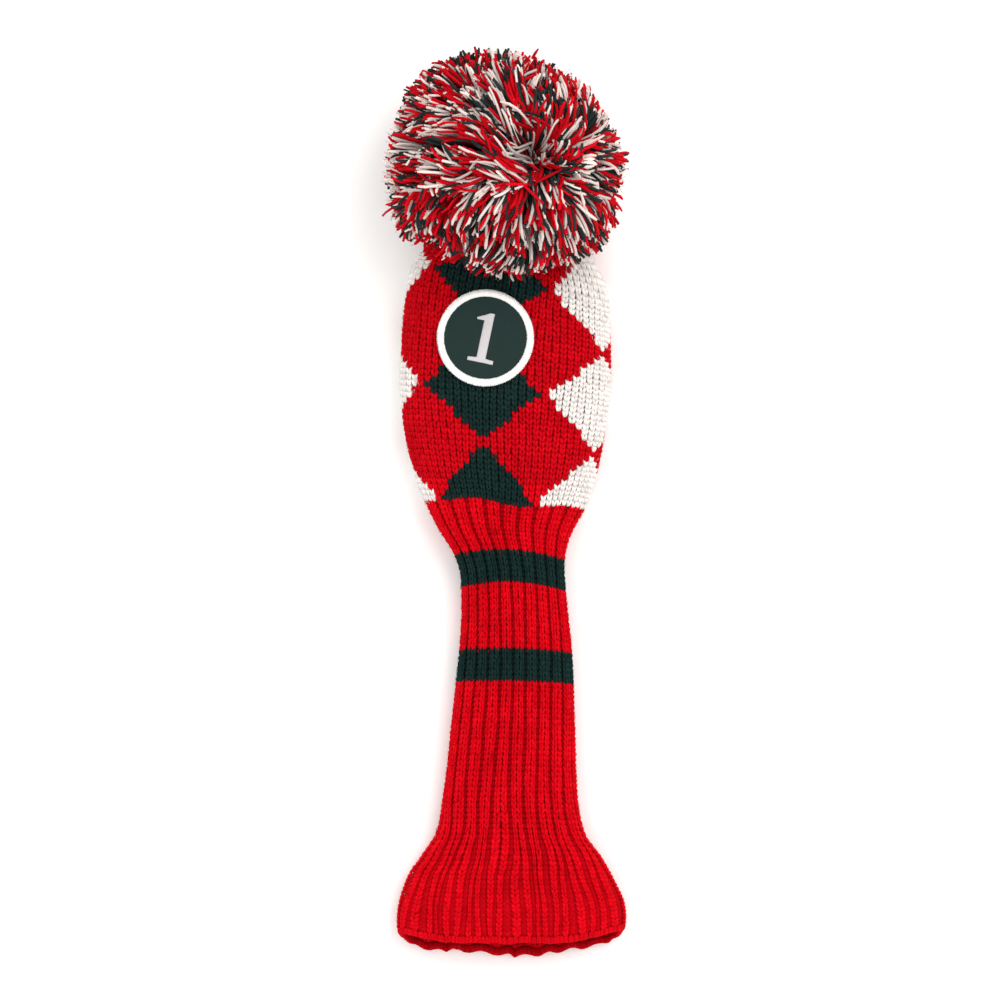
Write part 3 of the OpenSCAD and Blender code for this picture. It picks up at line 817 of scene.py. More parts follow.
# ---------------------------------------------------------------- sheets behind the stitches
def sheet(name, v0, v1, height_at, step=1.5, tint=None, thick=0.5):
    """A closed band round the tube, from v0 to v1."""
    cols = 132
    rows = max(2, int((v1 - v0) / step) + 1)
    u, v = np.meshgrid(np.arange(cols) * COLUMNS / cols, np.linspace(v0, v1, rows))
    height = height_at(u, v)
    outer = cloth_point(u, v, height)
    inner = cloth_point(u, v, height - thick)
    points = np.concatenate([outer.reshape(-1, 3), inner.reshape(-1, 3)])
    layer = rows * cols
    i = np.arange(cols)
    after = (i + 1) % cols
    j = np.arange(rows - 1)[:, None] * cols
    a, b = (j + i).ravel(), (j + after).ravel()
    c, d = b + cols, a + cols
    last = (rows - 1) * cols
    quads = np.concatenate([
        np.stack([a, b, c, d], -1),
        np.stack([a, d, c, b], -1) + layer,
        np.stack([i, layer + i, layer + after, after], -1),
        np.stack([last + i, last + after, layer + last + after, layer + last + i], -1),
    ])
    # outward faces: compare the first face with the tube's own normal
    corner = points[quads[0]]
    facing = np.cross(corner[1] - corner[0], corner[3] - corner[0])
    if np.dot(facing, lookup(NORMALS, u[0, :1], v[0, :1])[0]) < 0:
        quads = quads[:, ::-1]

    def layer_uv(faces, left):
        row, col = np.divmod(faces % layer, cols)
        wraps = (col == 0) & (col.max(1, keepdims=True) > cols / 2)
        col = np.where(wraps, cols, col)
        return np.stack([left + 0.48 * col / cols, 0.02 + 0.94 * row / (rows - 1)], -1)

    # bake layout: outer face in the left half, inner face in the right, edges in a corner
    faces = len(a)
    edge_uv = np.tile([[0.99, 0.99], [0.995, 0.99], [0.995, 0.995], [0.99, 0.995]],
                      (2 * cols, 1, 1))
    uv = np.concatenate([layer_uv(quads[:faces], 0.005),
                         layer_uv(quads[faces:2 * faces], 0.505), edge_uv])
    attributes = {}
    if tint is not None:
        attributes["tint"] = np.tile(tint(u, v).reshape(-1, 3), (2, 1))
    return make_mesh(name, points, quads, np.zeros((0, 3), int), uv.reshape(-1, 2), attributes)


# painted shade: the cloth behind the stitches takes each yarn's colour darkened, so the gaps
# between stitches read as shadow; where the cuff opens it is a lighter red
BACK_SHADE_COLOURS = np.array([linear((158, 5, 14)), linear((15, 29, 28)), linear((112, 104, 101))])
M_BACK = cloth_material("yarn floats behind", (90, 8, 14), tint="tint", scale=1400)


def back_shade_tint(u, v):
    opened = np.clip((-150 - v) / 25.0, 0, 1)[..., None]
    return BACK_SHADE_COLOURS[colour_at(u, v)] * (1 - opened) + linear((168, 6, 16)) * opened


def back_height(u, v):
    in_rib = np.clip((Y_RIB + 2 - v) / 6.0, 0, 1)
    opened = np.clip((-158 - v) / 30.0, 0, 1) * np.clip((v - Y_MOUTH - 1) / 4.0, 0, 1)
    return (-2.0 * (1 - in_rib) - 2.95 * in_rib) * (1 - opened) - 2.05 * opened


LAP = 0.8               # neighbouring sheets overlap
for zone in ZONES:
    v1 = min(zone.top, Y_CROWN) + (LAP if zone.top < 100 else 0)
    v0 = max(zone.bottom, Y_MOUTH + 1.0) - (LAP if zone.bottom > -250 else 0)
    dress(sheet(f"{zone.name}_backing_yarn", v0, v1, back_height, tint=back_shade_tint),
          M_BACK, zone_bodies(zone))

M_LINER = cloth_material("thin knitted lining", (120, 14, 22), scale=2200, bump=0.15)
M_ELASTIC = cloth_material("covered elastic", (150, 12, 24), scale=1500, bump=0.2, dark=0.7)
LININGS = [  # name, v0, v1, height, step, thickness, material, slot, body, replaced
    ("head_liner_cloth", 8.2, 131, -3.6, 3.0, 0.9, M_LINER, "lining", "head", "head_liner"),
    ("liner_hem_band", 5.0, 8.0, -3.5, 1.0, 1.3, M_LINER, "lining", "head", "liner_hem"),
    ("neck_elastic_band", -63, -58, -3.75, 1.0, 0.8, M_ELASTIC, "elastic", "neck_mid",
     "neck_elastic"),
]
for name, v0, v1, level, step, thick, material, slot, body, replaced in LININGS:
    ob = sheet(name, v0, v1, lambda u, v: np.full(u.shape, level), step=step, thick=thick)
    dress(ob, material, body, [replaced])


# ---------------------------------------------------------------- the head's skin, to lay things on
def head_skin():
    u, v = np.meshgrid(np.arange(0, COLUMNS, 0.5), np.arange(-10, 137, 2.0))
    rows, cols = u.shape
    points = lookup(GRID, u, v).reshape(-1, 3)
    faces = [(j * cols + i, j * cols + (i + 1) % cols,
              (j + 1) * cols + (i + 1) % cols, (j + 1) * cols + i)
             for j in range(rows - 1) for i in range(cols)]
    last = (rows - 1) * cols
    faces += [(last + i, last + (i + 1) % cols, len(points)) for i in range(cols)]
    points = np.concatenate([points, points[last:].mean(0)[None]])
    return BVHTree.FromPolygons([Vector(p) for p in points], faces)


SKIN = head_skin()
HEAD_CORE = Vector((0.0, 70.0, 18.0))


def top_z(x, y):
    x, y = np.atleast_1d(x), np.atleast_1d(y)
    heights = np.empty(x.shape)
    for k in np.ndindex(x.shape):
        hit = SKIN.ray_cast(Vector((float(x[k]), float(y[k]), 300.0)), Vector((0, 0, -1)))[0]
        heights[k] = hit.z if hit is not None else 0.0
    return heights


def above_skin(point):
    """Nearest place on the skin, the outward direction there and the height above it."""
    place, normal = SKIN.find_nearest(point)[:2]
    outward = normal if normal.dot(place - HEAD_CORE) > 0 else -normal
    return place, outward, (point - place).dot(outward)


# ---------------------------------------------------------------- the badge
def disc(name, radius, lift, thick, rings=26, dome=0.0):
    sides = 96
    reach = (radius * (np.arange(1, rings + 1) / rings))[:, None]
    angle = 2 * np.pi * np.arange(sides) / sides
    x = BADGE_CENTRE[0] + reach * np.cos(angle)
    y = BADGE_CENTRE[1] + reach * np.sin(angle)
    z = top_z(x, y) + lift + dome * (1 - (reach / radius) ** 2)
    centre_z = top_z(BADGE_CENTRE[0], BADGE_CENTRE[1])[0] + lift + dome
    face = np.concatenate([np.stack([x, y, z], -1).reshape(-1, 3),
                           [[BADGE_CENTRE[0], BADGE_CENTRE[1], centre_z]]])
    points = np.concatenate([face, face - [0, 0, thick]])
    layer = rings * sides + 1
    i = np.arange(sides)
    after = (i + 1) % sides
    k = np.arange(rings - 1)[:, None] * sides
    a, b = (k + i).ravel(), (k + after).ravel()
    upper = np.stack([a, a + sides, b + sides, b], -1)
    rim = (rings - 1) * sides
    edge = np.stack([rim + i, layer + rim + i, layer + rim + after, rim + after], -1)
    fan = np.stack([np.full(sides, rings * sides), i, after], -1)
    quads = np.concatenate([upper, upper[:, ::-1] + layer, edge])
    tris = np.concatenate([fan, fan[:, ::-1] + layer])
    loops = np.concatenate([quads.ravel(), tris.ravel()])
    corner = points[loops]
    uv_x = ((corner[:, 0] - BADGE_CENTRE[0]) / (2.2 * radius) * 0.5
            + np.where(loops >= layer, 0.75, 0.25))
    uv_y = (corner[:, 1] - BADGE_CENTRE[1]) / (2.2 * radius) + 0.5
    return make_mesh(name, points, quads, tris, np.stack([uv_x, uv_y], -1), {})


BORDER_INNER_R = BADGE_R - 3.4
M_TWILL = twill_material("badge twill", (34, 49, 47))
M_BACKING = cloth_material("badge backing", (34, 40, 40), scale=1200)
dress(disc("badge_twill_face", BORDER_INNER_R + 0.9, lift=1.45, dome=0.35, thick=0.7),
      M_TWILL, "head", ["patch_twill"])
dress(disc("badge_backing_sheet", BORDER_INNER_R + 0.6, lift=0.6, rings=12, thick=0.4),
      M_BACKING, "head", ["patch_backing"])

M_MERROW = yarn_material("white overlock thread", (250, 250, 248), vary=0.01, rough=0.55,
                         sheen=0.1, ply=0.5, bump=0.08, dark=0.86)


def badge_border():
    """Overlock threads arching over the badge's edge."""
    count = 150
    angle = 2 * np.pi * (np.arange(count) + rng.normal(0, 0.06, count)) / count
    t = np.linspace(0, 1, 9)
    arch = np.pi * (1.06 - 1.12 * t)
    reach = BADGE_R - 1.72 + 1.55 * np.cos(arch)[None] * (1 + rng.normal(0, 0.03, (count, 1)))
    turn = angle[:, None] + (t[None] - 0.5) * (2 * np.pi / count) * 1.15
    x = BADGE_CENTRE[0] + reach * np.cos(turn)
    y = BADGE_CENTRE[1] + reach * np.sin(turn)
    z = top_z(x, y) + (0.45 + 1.75 * np.sin(arch)[None])
    radius = 0.60 * np.array([0.8, 0.95, 1, 1, 1, 1, 1, 0.95, 0.8])
    return free_tubes("badge_border_overlock", np.stack([x, y, z], -1), radius)


dress(badge_border(), M_MERROW, "head", ["patch_border"])

M_SATIN = yarn_material("silver embroidery thread", (214, 210, 212), vary=0.02, rough=0.38,
                        sheen=0.1, ply=0.4, bump=0.05, dark=0.78)


def numeral():
    """The numeral 1 in satin stitch: threads run across each stroke."""
    pitch = 0.33
    stem = 2.2          # half width of the upright
    threads = []
    for y in np.arange(-10.9, 12.45, pitch):
        left = -stem
        if y > 8.3:
            # the flag slopes down towards -x
            left = min(max(-6.0, 0.6 - (12.5 - y) * 2.0), -0.2)
            if y < 8.6:
                left = max(left, -2.2 - (y - 8.0) * 6.3)
        threads.append(((left, y), (stem, y)))
    for x in np.arange(-6.4, 6.41, pitch):
        serif_top = -10.4
        if abs(x) > stem:
            serif_top = -10.9 + 0.5 * (1 - abs(abs(x) - stem) / 4.3)
        threads.append(((x, -12.5), (x, serif_top)))
    threads = np.array(threads)
    count = len(threads)
    t = np.linspace(0, 1, 7)
    flat = (threads[:, None, 0] * (1 - t)[None, :, None]
            + threads[:, None, 1] * t[None, :, None])
    flat[..., 1] += rng.normal(0, 0.03, (count, 1))
    cosine, sine = math.cos(math.radians(-12)), math.sin(math.radians(-12))
    x = BADGE_CENTRE[0] + flat[..., 0] * cosine - flat[..., 1] * sine
    y = BADGE_CENTRE[1] + flat[..., 0] * sine + flat[..., 1] * cosine
    z = (top_z(x, y) + 1.75 + 0.42 * np.sin(np.pi * t)[None] ** 0.5
         + rng.normal(0, 0.015, (count, 1)))
    return free_tubes("badge_numeral_satin", np.stack([x, y, z], -1), 0.235, sides=5)


dress(numeral(), M_SATIN, "head", ["patch_numeral"])

# ---------------------------------------------------------------- cords
M_CORD = yarn_material("white cord", (232, 224, 216), vary=0.03, ply=1.0, bump=0.2, dark=0.7)


def cord(name, start, end):
    """Three plies twisted round the line from start to end."""
    plies, offset, radius, pitch = 3, 0.68, 0.62, 6.0
    start = np.asarray(start, float)
    length = np.linalg.norm(end - start)
    axis = (end - start) / length
    flat = unit(np.cross(axis, np.array([0.3, 0.2, 0.93])))
    normal = np.cross(flat, axis)
    run = np.linspace(0, length, max(12, int(length / 0.8)))
    paths = []
    for k in range(plies):
        phase = (2 * np.pi * (run / pitch + k / plies))[:, None]
        paths.append(start + run[:, None] * axis
                     + offset * (np.cos(phase) * flat + np.sin(phase) * normal))
    return free_tubes(name, np.array(paths), radius)


def tie_knot():
    """Four rings of cord round the pivot; each is given by two directions in its plane."""
    planes = (((1, 0, 0), (0, 1, 0)), ((0.2, 1, 0), (0, 0.1, 1)),
              ((0.8, 0, 0.6), (0, 1, 0.3)), ((0, 0.5, 0.86), (1, 0.2, 0)))
    turn = np.linspace(0, 2 * np.pi, 25)[:, None]
    rings = []
    for first, second in planes:
        first = unit(np.array(first, float))
        second = np.array(second, float)
        second = unit(second - first * (first @ second))
        rings.append(PIVOT + 1.55 * (np.cos(turn) * first + np.sin(turn) * second))
    return free_tubes("pom_tie_knot_turns", np.array(rings), 0.68)


def pom_binding():
    """Cord wound seven times round the middle of the pom-pom."""
    lean, nod = math.radians(19), math.radians(6)
    axis = np.array([math.sin(lean), math.cos(lean) * math.sin(nod),
                     math.cos(lean) * math.cos(nod)])
    first = unit(np.cross(axis, [0, 1, 0]))
    second = np.cross(axis, first)
    turns = 7
    turn = np.linspace(0, 2 * np.pi * turns, 24 * turns)[:, None]
    path = (POM_CENTRE
            + (5.6 + 0.7 * np.cos(turn * 0.37)) * (np.cos(turn) * first + np.sin(turn) * second)
            + (1.3 * np.sin(turn / turns * 1.5)) * axis)
    return free_tubes("pom_binding_turns", path[None], 0.75)


def crown_gather():
    """Two turns of yarn that draw the crown together."""
    turn = np.linspace(0, 2 * np.pi, 49)
    centre = middle("crown_gather_cord")
    rings = [centre + np.stack([4.6 * np.cos(turn + k), 0.5 * np.sin(8 * turn + k * 3),
                                4.6 * np.sin(turn + k)], -1) for k in (0, 1.3)]
    return free_tubes("crown_gather_turns", np.array(rings), 0.7)


tie_direction = unit(POM_CENTRE - PIVOT)
anchor_y = box_mm("pom_anchor_cord")[0][1]
dress(cord("pom_anchor_cord_twist", (PIVOT[0], anchor_y, PIVOT[2]), PIVOT - [0, 1.6, 0]),
      M_CORD, "head", ["pom_anchor_cord"])
dress(cord("pom_tie_cord_twist", PIVOT + tie_direction * 1.6, POM_CENTRE - tie_direction * 5.0),
      M_CORD, "pom", ["pom_tie_cord"])
dress(tie_knot(), M_CORD, "pom_tie", ["pom_tie_knot"])
dress(pom_binding(), M_CORD, "pom", ["pom_binding"])
dress(crown_gather(), M_RED, "head", ["crown_gather_cord"])

button_material, tree, bsdf = new_material("button plastic")
scuffs = add_node(tree, "TexNoise", {"Scale": 400}).outputs["Fac"]
set_inputs(tree, bsdf, {"Roughness": math_node(tree, "MULTIPLY_ADD", scuffs, 0.2, 0.35),
                        "Base Color": (0.02, 0.02, 0.02, 1)})
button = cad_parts["crown_button"]
button.data.materials.clear()
button.data.materials.append(button_material)

# ---------------------------------------------------------------- the pom-pom
STRANDS = 9600
POINTS = 9              # along each strand
index = np.arange(STRANDS) + 0.5
polar_z = 1 - 2 * index / STRANDS
golden = index * np.pi * (3 - math.sqrt(5))
ring_r = np.sqrt(1 - polar_z**2)
# where each strand points: spread evenly over a ball, then jittered
aims = np.stack([ring_r * np.cos(golden), ring_r * np.sin(golden), polar_z], -1)
aims = unit(aims + rng.normal(0, 0.03, aims.shape))
PARTING = unit(np.array([0.44, -0.05, 0.897]))        # where the strands part


def smooth_noise(directions, seed, waves, frequency):
    """Three channels of smooth noise over directions."""
    own = np.random.default_rng(seed)
    wave = own.normal(0, frequency, (waves, 3))
    phase = own.uniform(0, 6.28, waves)
    weight = own.normal(0, 1, (waves, 3))
    return (np.sin(directions @ wave.T + phase) @ weight) / math.sqrt(waves)


def nearest_of(directions, centres):
    nearest = np.empty(len(directions), int)
    for k in range(0, len(directions), 600):
        nearest[k:k + 600] = np.argmax(directions[k:k + 600] @ centres.T, 1)
    return nearest


# locks: neighbouring strands lean together towards the middle of their lock
lock_centres = unit(rng.normal(0, 1, (620, 3)))
lock = nearest_of(aims, lock_centres)
lock_noise = smooth_noise(lock_centres, seed=11, waves=24, frequency=9.0)[lock]
clump = smooth_noise(aims, seed=3, waves=18, frequency=4.0)
fine = smooth_noise(aims, seed=5, waves=24, frequency=12.0)

# towards -y from the parting the strands hang straight down from a line across the ball
low = smoothstep((-aims[:, 1] - 0.06) / 0.28)[:, None]
line_x = np.clip(aims[:, 0] * 0.85, -0.5, 0.44)
line = np.stack([line_x, np.full(STRANDS, -0.03), np.sqrt(1 - line_x ** 2 - 0.0009)], -1)
roots = unit(PARTING * (1 - low) + line * low)
cos_polar = np.clip((aims * roots).sum(-1), -1, 1)
polar = np.arccos(cos_polar)
away = unit(aims - cos_polar[:, None] * roots, 1e-9)
swirl = np.cross(roots, away)
minus_x = np.clip(-away[:, 0] * 1.1 + 0.25, 0, 1)

# how flat each strand lies, its starting angle from its root, and its sideways sweep
lay = np.exp(-((polar - 0.5) / 0.62) ** 2) * (0.55 + 0.45 * minus_x)
lay = np.clip(lay * (1 + 0.25 * clump[:, 0]) * np.clip(1.0 + (aims[:, 1] + 0.35) * 1.2, 0.25, 1),
              0, 1)
start_angle = (0.20 + 0.78 * lay + 0.10 * clump[:, 0] + 0.08 * fine[:, 0]
               + 0.10 * lock_noise[:, 0])
start_angle = np.minimum(np.clip(start_angle, 0.02, 1.2), polar * 0.96)
sweep = (0.05 + 0.13 * clump[:, 1] + 0.07 * fine[:, 1]
         + 0.16 * lock_noise[:, 1] * (0.4 + 0.6 * lay) + 0.12 * minus_x * lay)

# strand lengths, as a share of the ball's radius
length = (0.985 + 0.024 * rng.normal(0, 1, STRANDS) + 0.018 * clump[:, 2]
          + 0.018 * lock_noise[:, 2])
stray = rng.random(STRANDS) < 0.035
length[stray] += rng.uniform(0.02, 0.07, stray.sum())
# a few strands on the open side of the parting lie across the others
wild = ((rng.random(STRANDS) < 0.045) & (aims[:, 2] > 0.25) & (aims[:, 0] < 0.35)
        & (aims[:, 1] > -0.35))
sweep[wild] += rng.choice([-1.0, 1.0], wild.sum()) * rng.uniform(0.25, 0.75, wild.sum())
length[wild] += rng.uniform(0.004, 0.03, wild.sum())
# a lock sticks out on the +x side, and a hollow lies towards -x and +y of the parting; its darkness
# is painted shade, given in the shades below
length += 0.085 * np.clip((aims @ np.array([0.985, -0.02, 0.17]) - 0.975) / 0.025, 0, 1)
hollow_from = aims - (PARTING + np.array([-0.15, 0.17, 0.04]))
hollow = np.exp(-(hollow_from ** 2).sum(-1) / 0.042)
length -= 0.32 * hollow

ROOT_SHARE = 0.46       # radius at which the strands start
CURL_CENTRE = unit(PARTING + np.array([-0.20, 0.16, 0.04]))   # the strands curl round this
paths = np.empty((STRANDS, POINTS, 3))
pit = np.zeros((STRANDS, POINTS))
tau = np.linspace(0, 1, POINTS)
rise_power = 1.45 + 1.7 * lay
wave_phase = rng.uniform(0, 6.28, STRANDS)
for k, t in enumerate(tau):
    radius = POM_R * (ROOT_SHARE + (length - ROOT_SHARE) * (1 - (1 - t) ** rise_power))
    angle = polar - start_angle * (1 - t) ** 1.15
    way = np.cos(angle)[:, None] * roots + np.sin(angle)[:, None] * away
    way += swirl * (sweep * (1 - t) ** 1.1)[:, None]
    way += (0.030 * (0.5 + lay) * np.sin(t * 6.5 + 7 * clump[:, 1] + 4 * lock_noise[:, 0])
            * t)[:, None] * swirl
    way += 0.42 * (lock_centres[lock] - aims) * (t ** 1.3)
    way = unit(way)
    radius = radius * (1 + 0.016 * np.sin(t * 7.0 + wave_phase) * (0.4 + t))
    gap = way - CURL_CENTRE
    gap_squared = (gap ** 2).sum(-1)
    way += np.cross(CURL_CENTRE, gap) * (0.55 * t * np.exp(-gap_squared / 0.07))[:, None]
    way += gap * (0.35 * t * np.exp(-gap_squared / 0.04))[:, None]
    way = unit(way)
    pit[:, k] = np.exp(-((way - CURL_CENTRE) ** 2).sum(-1) / 0.045)
    radius = radius * (1 - 0.17 * pit[:, k])
    paths[:, k] = way * radius[:, None]
paths = paths * np.array([1.0, 0.972, 0.98])
paths += np.cumsum(rng.normal(0, 0.16, (STRANDS, POINTS, 3)), 1) * tau[None, :, None]
paths += POM_CENTRE + np.array([-0.9, -2.4, -0.6])
# the far end of the ball leans towards -x
paths[..., 0] -= 5.5 * smoothstep((paths[..., 1] - 178.0) / 42.0)
# the strands nearest the head spread sideways over its shoulders
down = np.clip((POM_CENTRE[1] - 2.4 - paths[..., 1] - 15.0) / 35.0, 0, 1)
paths[..., 0] = POM_CENTRE[0] + (paths[..., 0] - POM_CENTRE[0]) * (1 + 0.20 * down)

# trimmed edge: longest over the middle of the head, short over its shoulders; x, y
TRIM = np.array([
    (-54, 125), (-45, 129), (-35, 128.5), (-28, 123), (-20, 116), (-12, 111.5), (0, 107.5),
    (6, 106), (12, 108), (20, 113), (30, 116), (38, 118), (46, 122), (54, 127),
])
trim_y = np.interp(paths[:, -1, 0], TRIM[:, 0], TRIM[:, 1])
trim_y = trim_y + rng.normal(0, 3.0, STRANDS) + 2.0 * lock_noise[:, 2]
past = paths[..., 1] < trim_y[:, None]
end_k = np.where(past.any(1), past.argmax(1), POINTS - 1)
before_k = np.maximum(end_k - 1, 0)
before_y, end_y = (paths[np.arange(STRANDS), k, 1] for k in (before_k, end_k))
part_way = np.clip((before_y - trim_y) / np.maximum(before_y - end_y, 1e-6), 0, 1)
cut = np.clip(np.where(past.any(1), (before_k + part_way) / (POINTS - 1), 1.0), 0.3, 1.0)
position = cut[:, None] * tau[None] * (POINTS - 1)
k0 = np.minimum(position.astype(int), POINTS - 2)
share = (position - k0)[..., None]
rows = np.arange(STRANDS)[:, None]
paths = paths[rows, k0] * (1 - share) + paths[rows, k0 + 1] * share

# strands lie on the floor where they meet it
FLOOR_Z = 0.95
rest_z = 1.1 + 0.9 * rng.random((STRANDS, 1))
z = paths[..., 2]
paths[..., 2] = np.maximum(np.where(z < rest_z, rest_z + (z - rest_z) * 0.02, z), FLOOR_Z)
# and part round the head
clearance = 1.95 + 1.9 * rng.random(STRANDS)


def part_round_head():
    for i, k in np.argwhere((paths[..., 1] < 146) & (paths[..., 2] < 50)):
        place, outward, height = above_skin(Vector(paths[i, k]))
        if height < clearance[i]:
            moved = place + outward * clearance[i]
            paths[i, k] = (moved.x, moved.y, max(moved.z, FLOOR_Z))


part_round_head()
# smooth each strand a little after it was pushed aside
paths[:, 1:-1] = 0.5 * paths[:, 1:-1] + 0.25 * (paths[:, :-2] + paths[:, 2:])
part_round_head()
strand_r = 0.705 * (1 + rng.normal(0, 0.10, STRANDS))
radii = (strand_r[:, None] * np.array([0.9, 1, 1, 1, 1, 1, 1.0, 1.05, 0.80])[None]
         * (1 + rng.normal(0, 0.09, (STRANDS, POINTS))))
# painted shade: strands darker towards their roots, in the hollow and in the pit, and a little
# lighter at their tips; the random factor for each strand is tone
shades = (np.interp(tau, [0, 0.35, 0.75, 1], [0.38, 0.62, 0.96, 1.09])[None]
          * (1 + rng.normal(0, 0.15, (STRANDS, 1))))
shades = shades * (1 - 0.45 * hollow)[:, None] * (1 - 0.45 * pit)


def swung(sway, nod):
    """The strands when the pom-pom swings by these angles, in degrees."""
    sin_sway, cos_sway = math.sin(math.radians(sway)), math.cos(math.radians(sway))
    sin_nod, cos_nod = math.sin(math.radians(nod)), math.cos(math.radians(nod))
    arm = paths - PIVOT
    # the ball bends into its tie
    weight = smoothstep((paths[..., 1] - 122.0) / 50.0)[..., None]
    x, y, z = arm[..., 0], arm[..., 1], arm[..., 2]
    nodded = np.stack([x, cos_nod * y - sin_nod * z, sin_nod * y + cos_nod * z], -1)
    arm = arm + (nodded - arm) * weight
    x, y, z = arm[..., 0], arm[..., 1], arm[..., 2]
    return np.stack([cos_sway * x - sin_sway * y, sin_sway * x + cos_sway * y, z], -1) + PIVOT


# strands that would cut into the head when the pom-pom swings lie on the head instead
lies_on_head = np.zeros(STRANDS, bool)
SWINGS = ((0, 20), (0, -10), (20, 0), (-20, 0), (20, 20), (-20, 20), (20, -10), (-20, -10))
for sway, nod in SWINGS:
    moved = swung(sway, nod)
    for spots in (moved, (moved[:, 1:] + moved[:, :-1]) / 2):
        near = (spots[..., 1] < 146) & (spots[..., 2] < 56) & ~lies_on_head[:, None]
        for i, k in np.argwhere(near):
            if not lies_on_head[i] and above_skin(Vector(spots[i, k]))[2] < 3.2:
                lies_on_head[i] = True

# they keep clear of the tie cord, which swings between them
CORD_GAP = 9.0
tie = POM_CENTRE - PIVOT
foot = PIVOT + np.clip(((paths - PIVOT) @ tie) / (tie @ tie), 0, 1)[..., None] * tie
offset = paths - foot
distance = np.linalg.norm(offset, axis=-1, keepdims=True)
pushed = foot + offset / np.maximum(distance, 1e-6) * (CORD_GAP - 0.2 * (CORD_GAP - distance))
paths = np.where(lies_on_head[:, None, None] & (distance < CORD_GAP), pushed, paths)

# three colours, in small groups of the same colour
COLOUR_SHARES = [0.44, 0.28, 0.28]
group_centres = unit(rng.normal(0, 1, (4200, 3)))
group_colours = rng.choice(3, 4200, p=COLOUR_SHARES)
strand_colours = group_colours[nearest_of(aims, group_centres)]
mixed = rng.random(STRANDS) < 0.40
strand_colours[mixed] = rng.choice(3, mixed.sum(), p=COLOUR_SHARES)


def loose_fibres(name, strands, count, scale):
    """Fine fibres standing off the outer part of the strands."""
    i = rng.choice(strands, count)
    k = rng.integers(4, POINTS, count)
    start = paths[i, k]
    tangent = unit(start - paths[i, k - 1], 1e-9)
    heading = unit(tangent + rng.normal(0, 0.55, (count, 3)))
    bend = rng.normal(0, 0.5, (count, 3))
    reach = rng.uniform(1.6, 4.2, count) * scale
    t = np.linspace(0, 1, 4)[None, :, None]
    fibres = start[:, None] + reach[:, None, None] * (
        t * heading[:, None] + (t ** 2) * bend[:, None] * 0.5)
    fibres[..., 2] = np.maximum(fibres[..., 2], 0.3)
    return free_tubes(name, fibres, np.array([0.10, 0.09, 0.07, 0.04]), sides=3)


for colour, (colour_name, material) in enumerate((
        ("red", M_POM_RED), ("white", M_POM_WHITE), ("green", M_POM_GREEN))):
    slot = f"{colour_name}_yarn"
    # name part, strands lying on the head or not, bodies, length of the loose fibres
    for tag, lying, bodies, fibre_scale in (
            ("", False, ("pom_tie", "pom", 0.122, 0.172), 1.0),
            ("_low", True, ("head", "pom_tie", 0.126, 0.170), 0.6)):
        chosen = np.where((strand_colours == colour) & (lies_on_head == lying))[0]
        pieces = max(1, math.ceil(len(chosen) * 90 / MESH_LIMIT))
        for k, part in enumerate(np.array_split(chosen, pieces)):
            replaced = [f"pom_yarn_{colour_name}"] if k == 0 and not lying else ()
            dress(free_tubes(f"pom_{colour_name}{tag}_strands_{k + 1}", paths[part], radii[part],
                             sides=5, shade=shades[part]), material, bodies, replaced)
        count = int(1500 * len(chosen) / max(1, (strand_colours == colour).sum()))
        if count >= 4:
            dress(loose_fibres(f"pom_{colour_name}{tag}_fibres", chosen, count, fibre_scale),
                  material, bodies)


# ---------------------------------------------------------------- fibre ends on the knitting
def fuzz(zone, count, v1, v0):
    u = rng.uniform(0, COLUMNS, count)
    v = rng.uniform(v0, v1, count)
    colours = colour_at(u, v)
    t = np.linspace(0, 1, 4)
    heading = rng.uniform(0, 2 * np.pi, count)
    reach = rng.uniform(1.2, 3.2, count)[:, None]
    curl = rng.normal(0, 0.9, count)
    angle = heading[:, None] + curl[:, None] * t[None]
    across = np.cumsum(np.cos(angle), 1) / 4 * reach
    along = np.cumsum(np.sin(angle), 1) / 4 * reach
    height = -0.45 + rng.uniform(0.5, 1.0, (count, 1)) * np.array([0, 0.55, 0.85, 0.9])[None]
    radius = np.tile(np.array([0.085, 0.085, 0.07, 0.04]), (count, 1))
    for colour, colour_name in enumerate(COLOUR_NAMES):
        chosen = colours == colour
        if chosen.sum() < 8:
            continue
        batch = (values[chosen] for values in (u, v, across, along, height, radius, radius))
        dress(cloth_tubes(f"{zone.name}_{colour_name}_fuzz", *batch, sides=3),
              stitch_material(zone, colour), zone_bodies(zone))


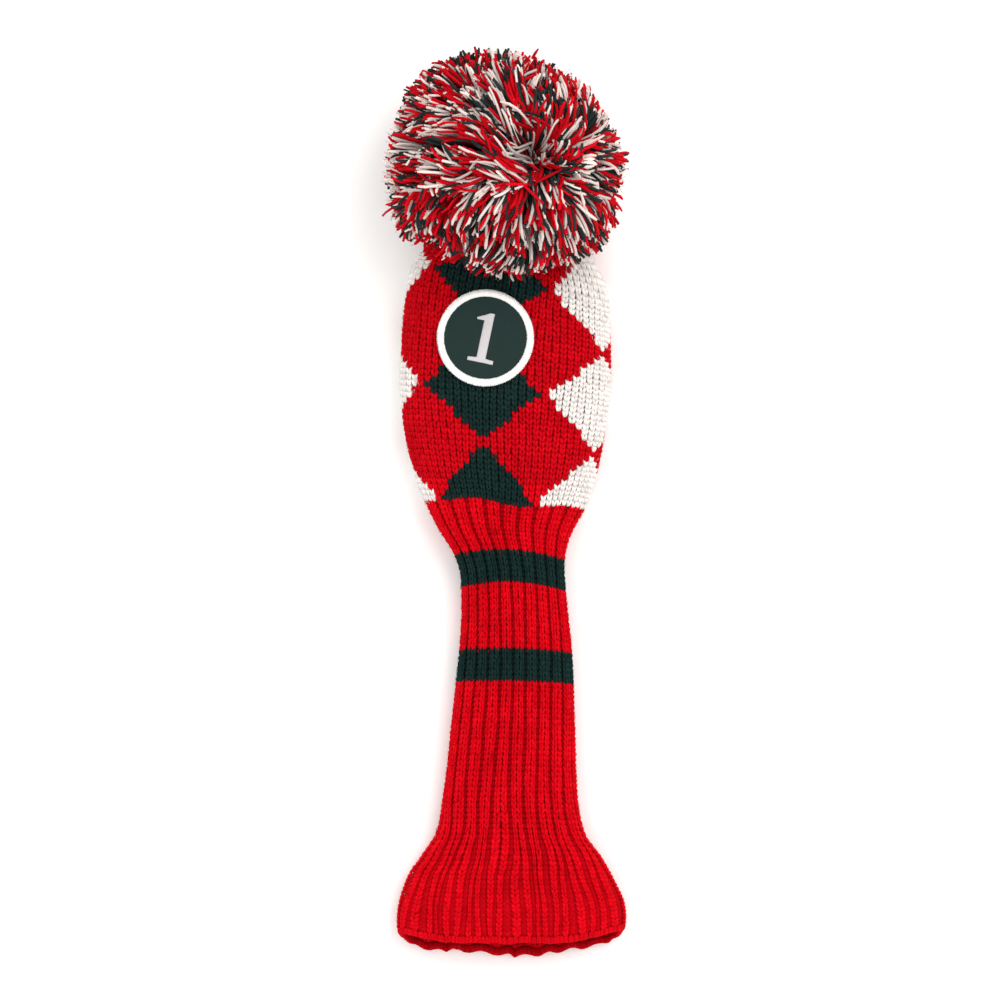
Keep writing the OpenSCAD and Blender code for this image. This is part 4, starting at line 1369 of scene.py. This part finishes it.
for zone in ZONES:
    v1, v0 = min(zone.top, 128.0), max(zone.bottom, Y_MOUTH + 2.0)
    fuzz(zone, int(26 * (v1 - v0)), v1 - 0.5, v0 + 0.5)

# ---------------------------------------------------------------- floor, light, camera, in metres
bpy.ops.mesh.primitive_plane_add(size=8, location=(0, 0, -0.0002))
floor = bpy.context.object
floor.name = "floor"
floor_material, tree, bsdf = new_material("floor")
set_inputs(tree, bsdf, {"Base Color": (1.0, 1.0, 0.992, 1), "Roughness": 0.9,
                        "Specular IOR Level": 0.1})
floor.data.materials.append(floor_material)

scene = bpy.context.scene
world = bpy.data.worlds.new("studio")
scene.world = world
world.use_nodes = True
set_inputs(world.node_tree, world.node_tree.nodes["Background"],
           {"Color": (1, 0.995, 0.985, 1), "Strength": 1.16})


def area_light(name, location, size, power, colour):
    """A square light that faces the origin."""
    light = bpy.data.lights.new(name, "AREA")
    light.energy = power
    light.size = size
    light.color = colour
    ob = bpy.data.objects.new(name, light)
    scene.collection.objects.link(ob)
    ob.location = location
    ob.rotation_euler = (-Vector(location)).to_track_quat("-Z", "Y").to_euler()


area_light("key", (0.62, 0.62, 1.40), size=0.9, power=9.0, colour=(1, 0.985, 0.96))
area_light("fill", (-1.1, -0.7, 1.5), size=1.6, power=2.0, colour=(0.97, 0.985, 1))

try:
    scene.view_settings.view_transform = "Standard"
except Exception:
    pass    # guards against a colour configuration that has no Standard view

CAMERA_ELEVATION = math.radians(87.5)
CAMERA_DISTANCE = 3.5
VIEW_WIDTH = 0.5        # seen at the aim point
SENSOR = 36             # millimetres
camera_data = bpy.data.cameras.new("camera")
camera = bpy.data.objects.new("camera", camera_data)
scene.collection.objects.link(camera)
aim = Vector((-0.0045, 0.0, 0.02))
camera.location = aim + CAMERA_DISTANCE * Vector(
    (0, -math.cos(CAMERA_ELEVATION), math.sin(CAMERA_ELEVATION)))
camera.rotation_euler = (aim - camera.location).to_track_quat("-Z", "Y").to_euler()
camera_data.sensor_width = SENSOR
camera_data.lens = SENSOR * CAMERA_DISTANCE / VIEW_WIDTH
camera_data.clip_end = 50
scene.camera = camera
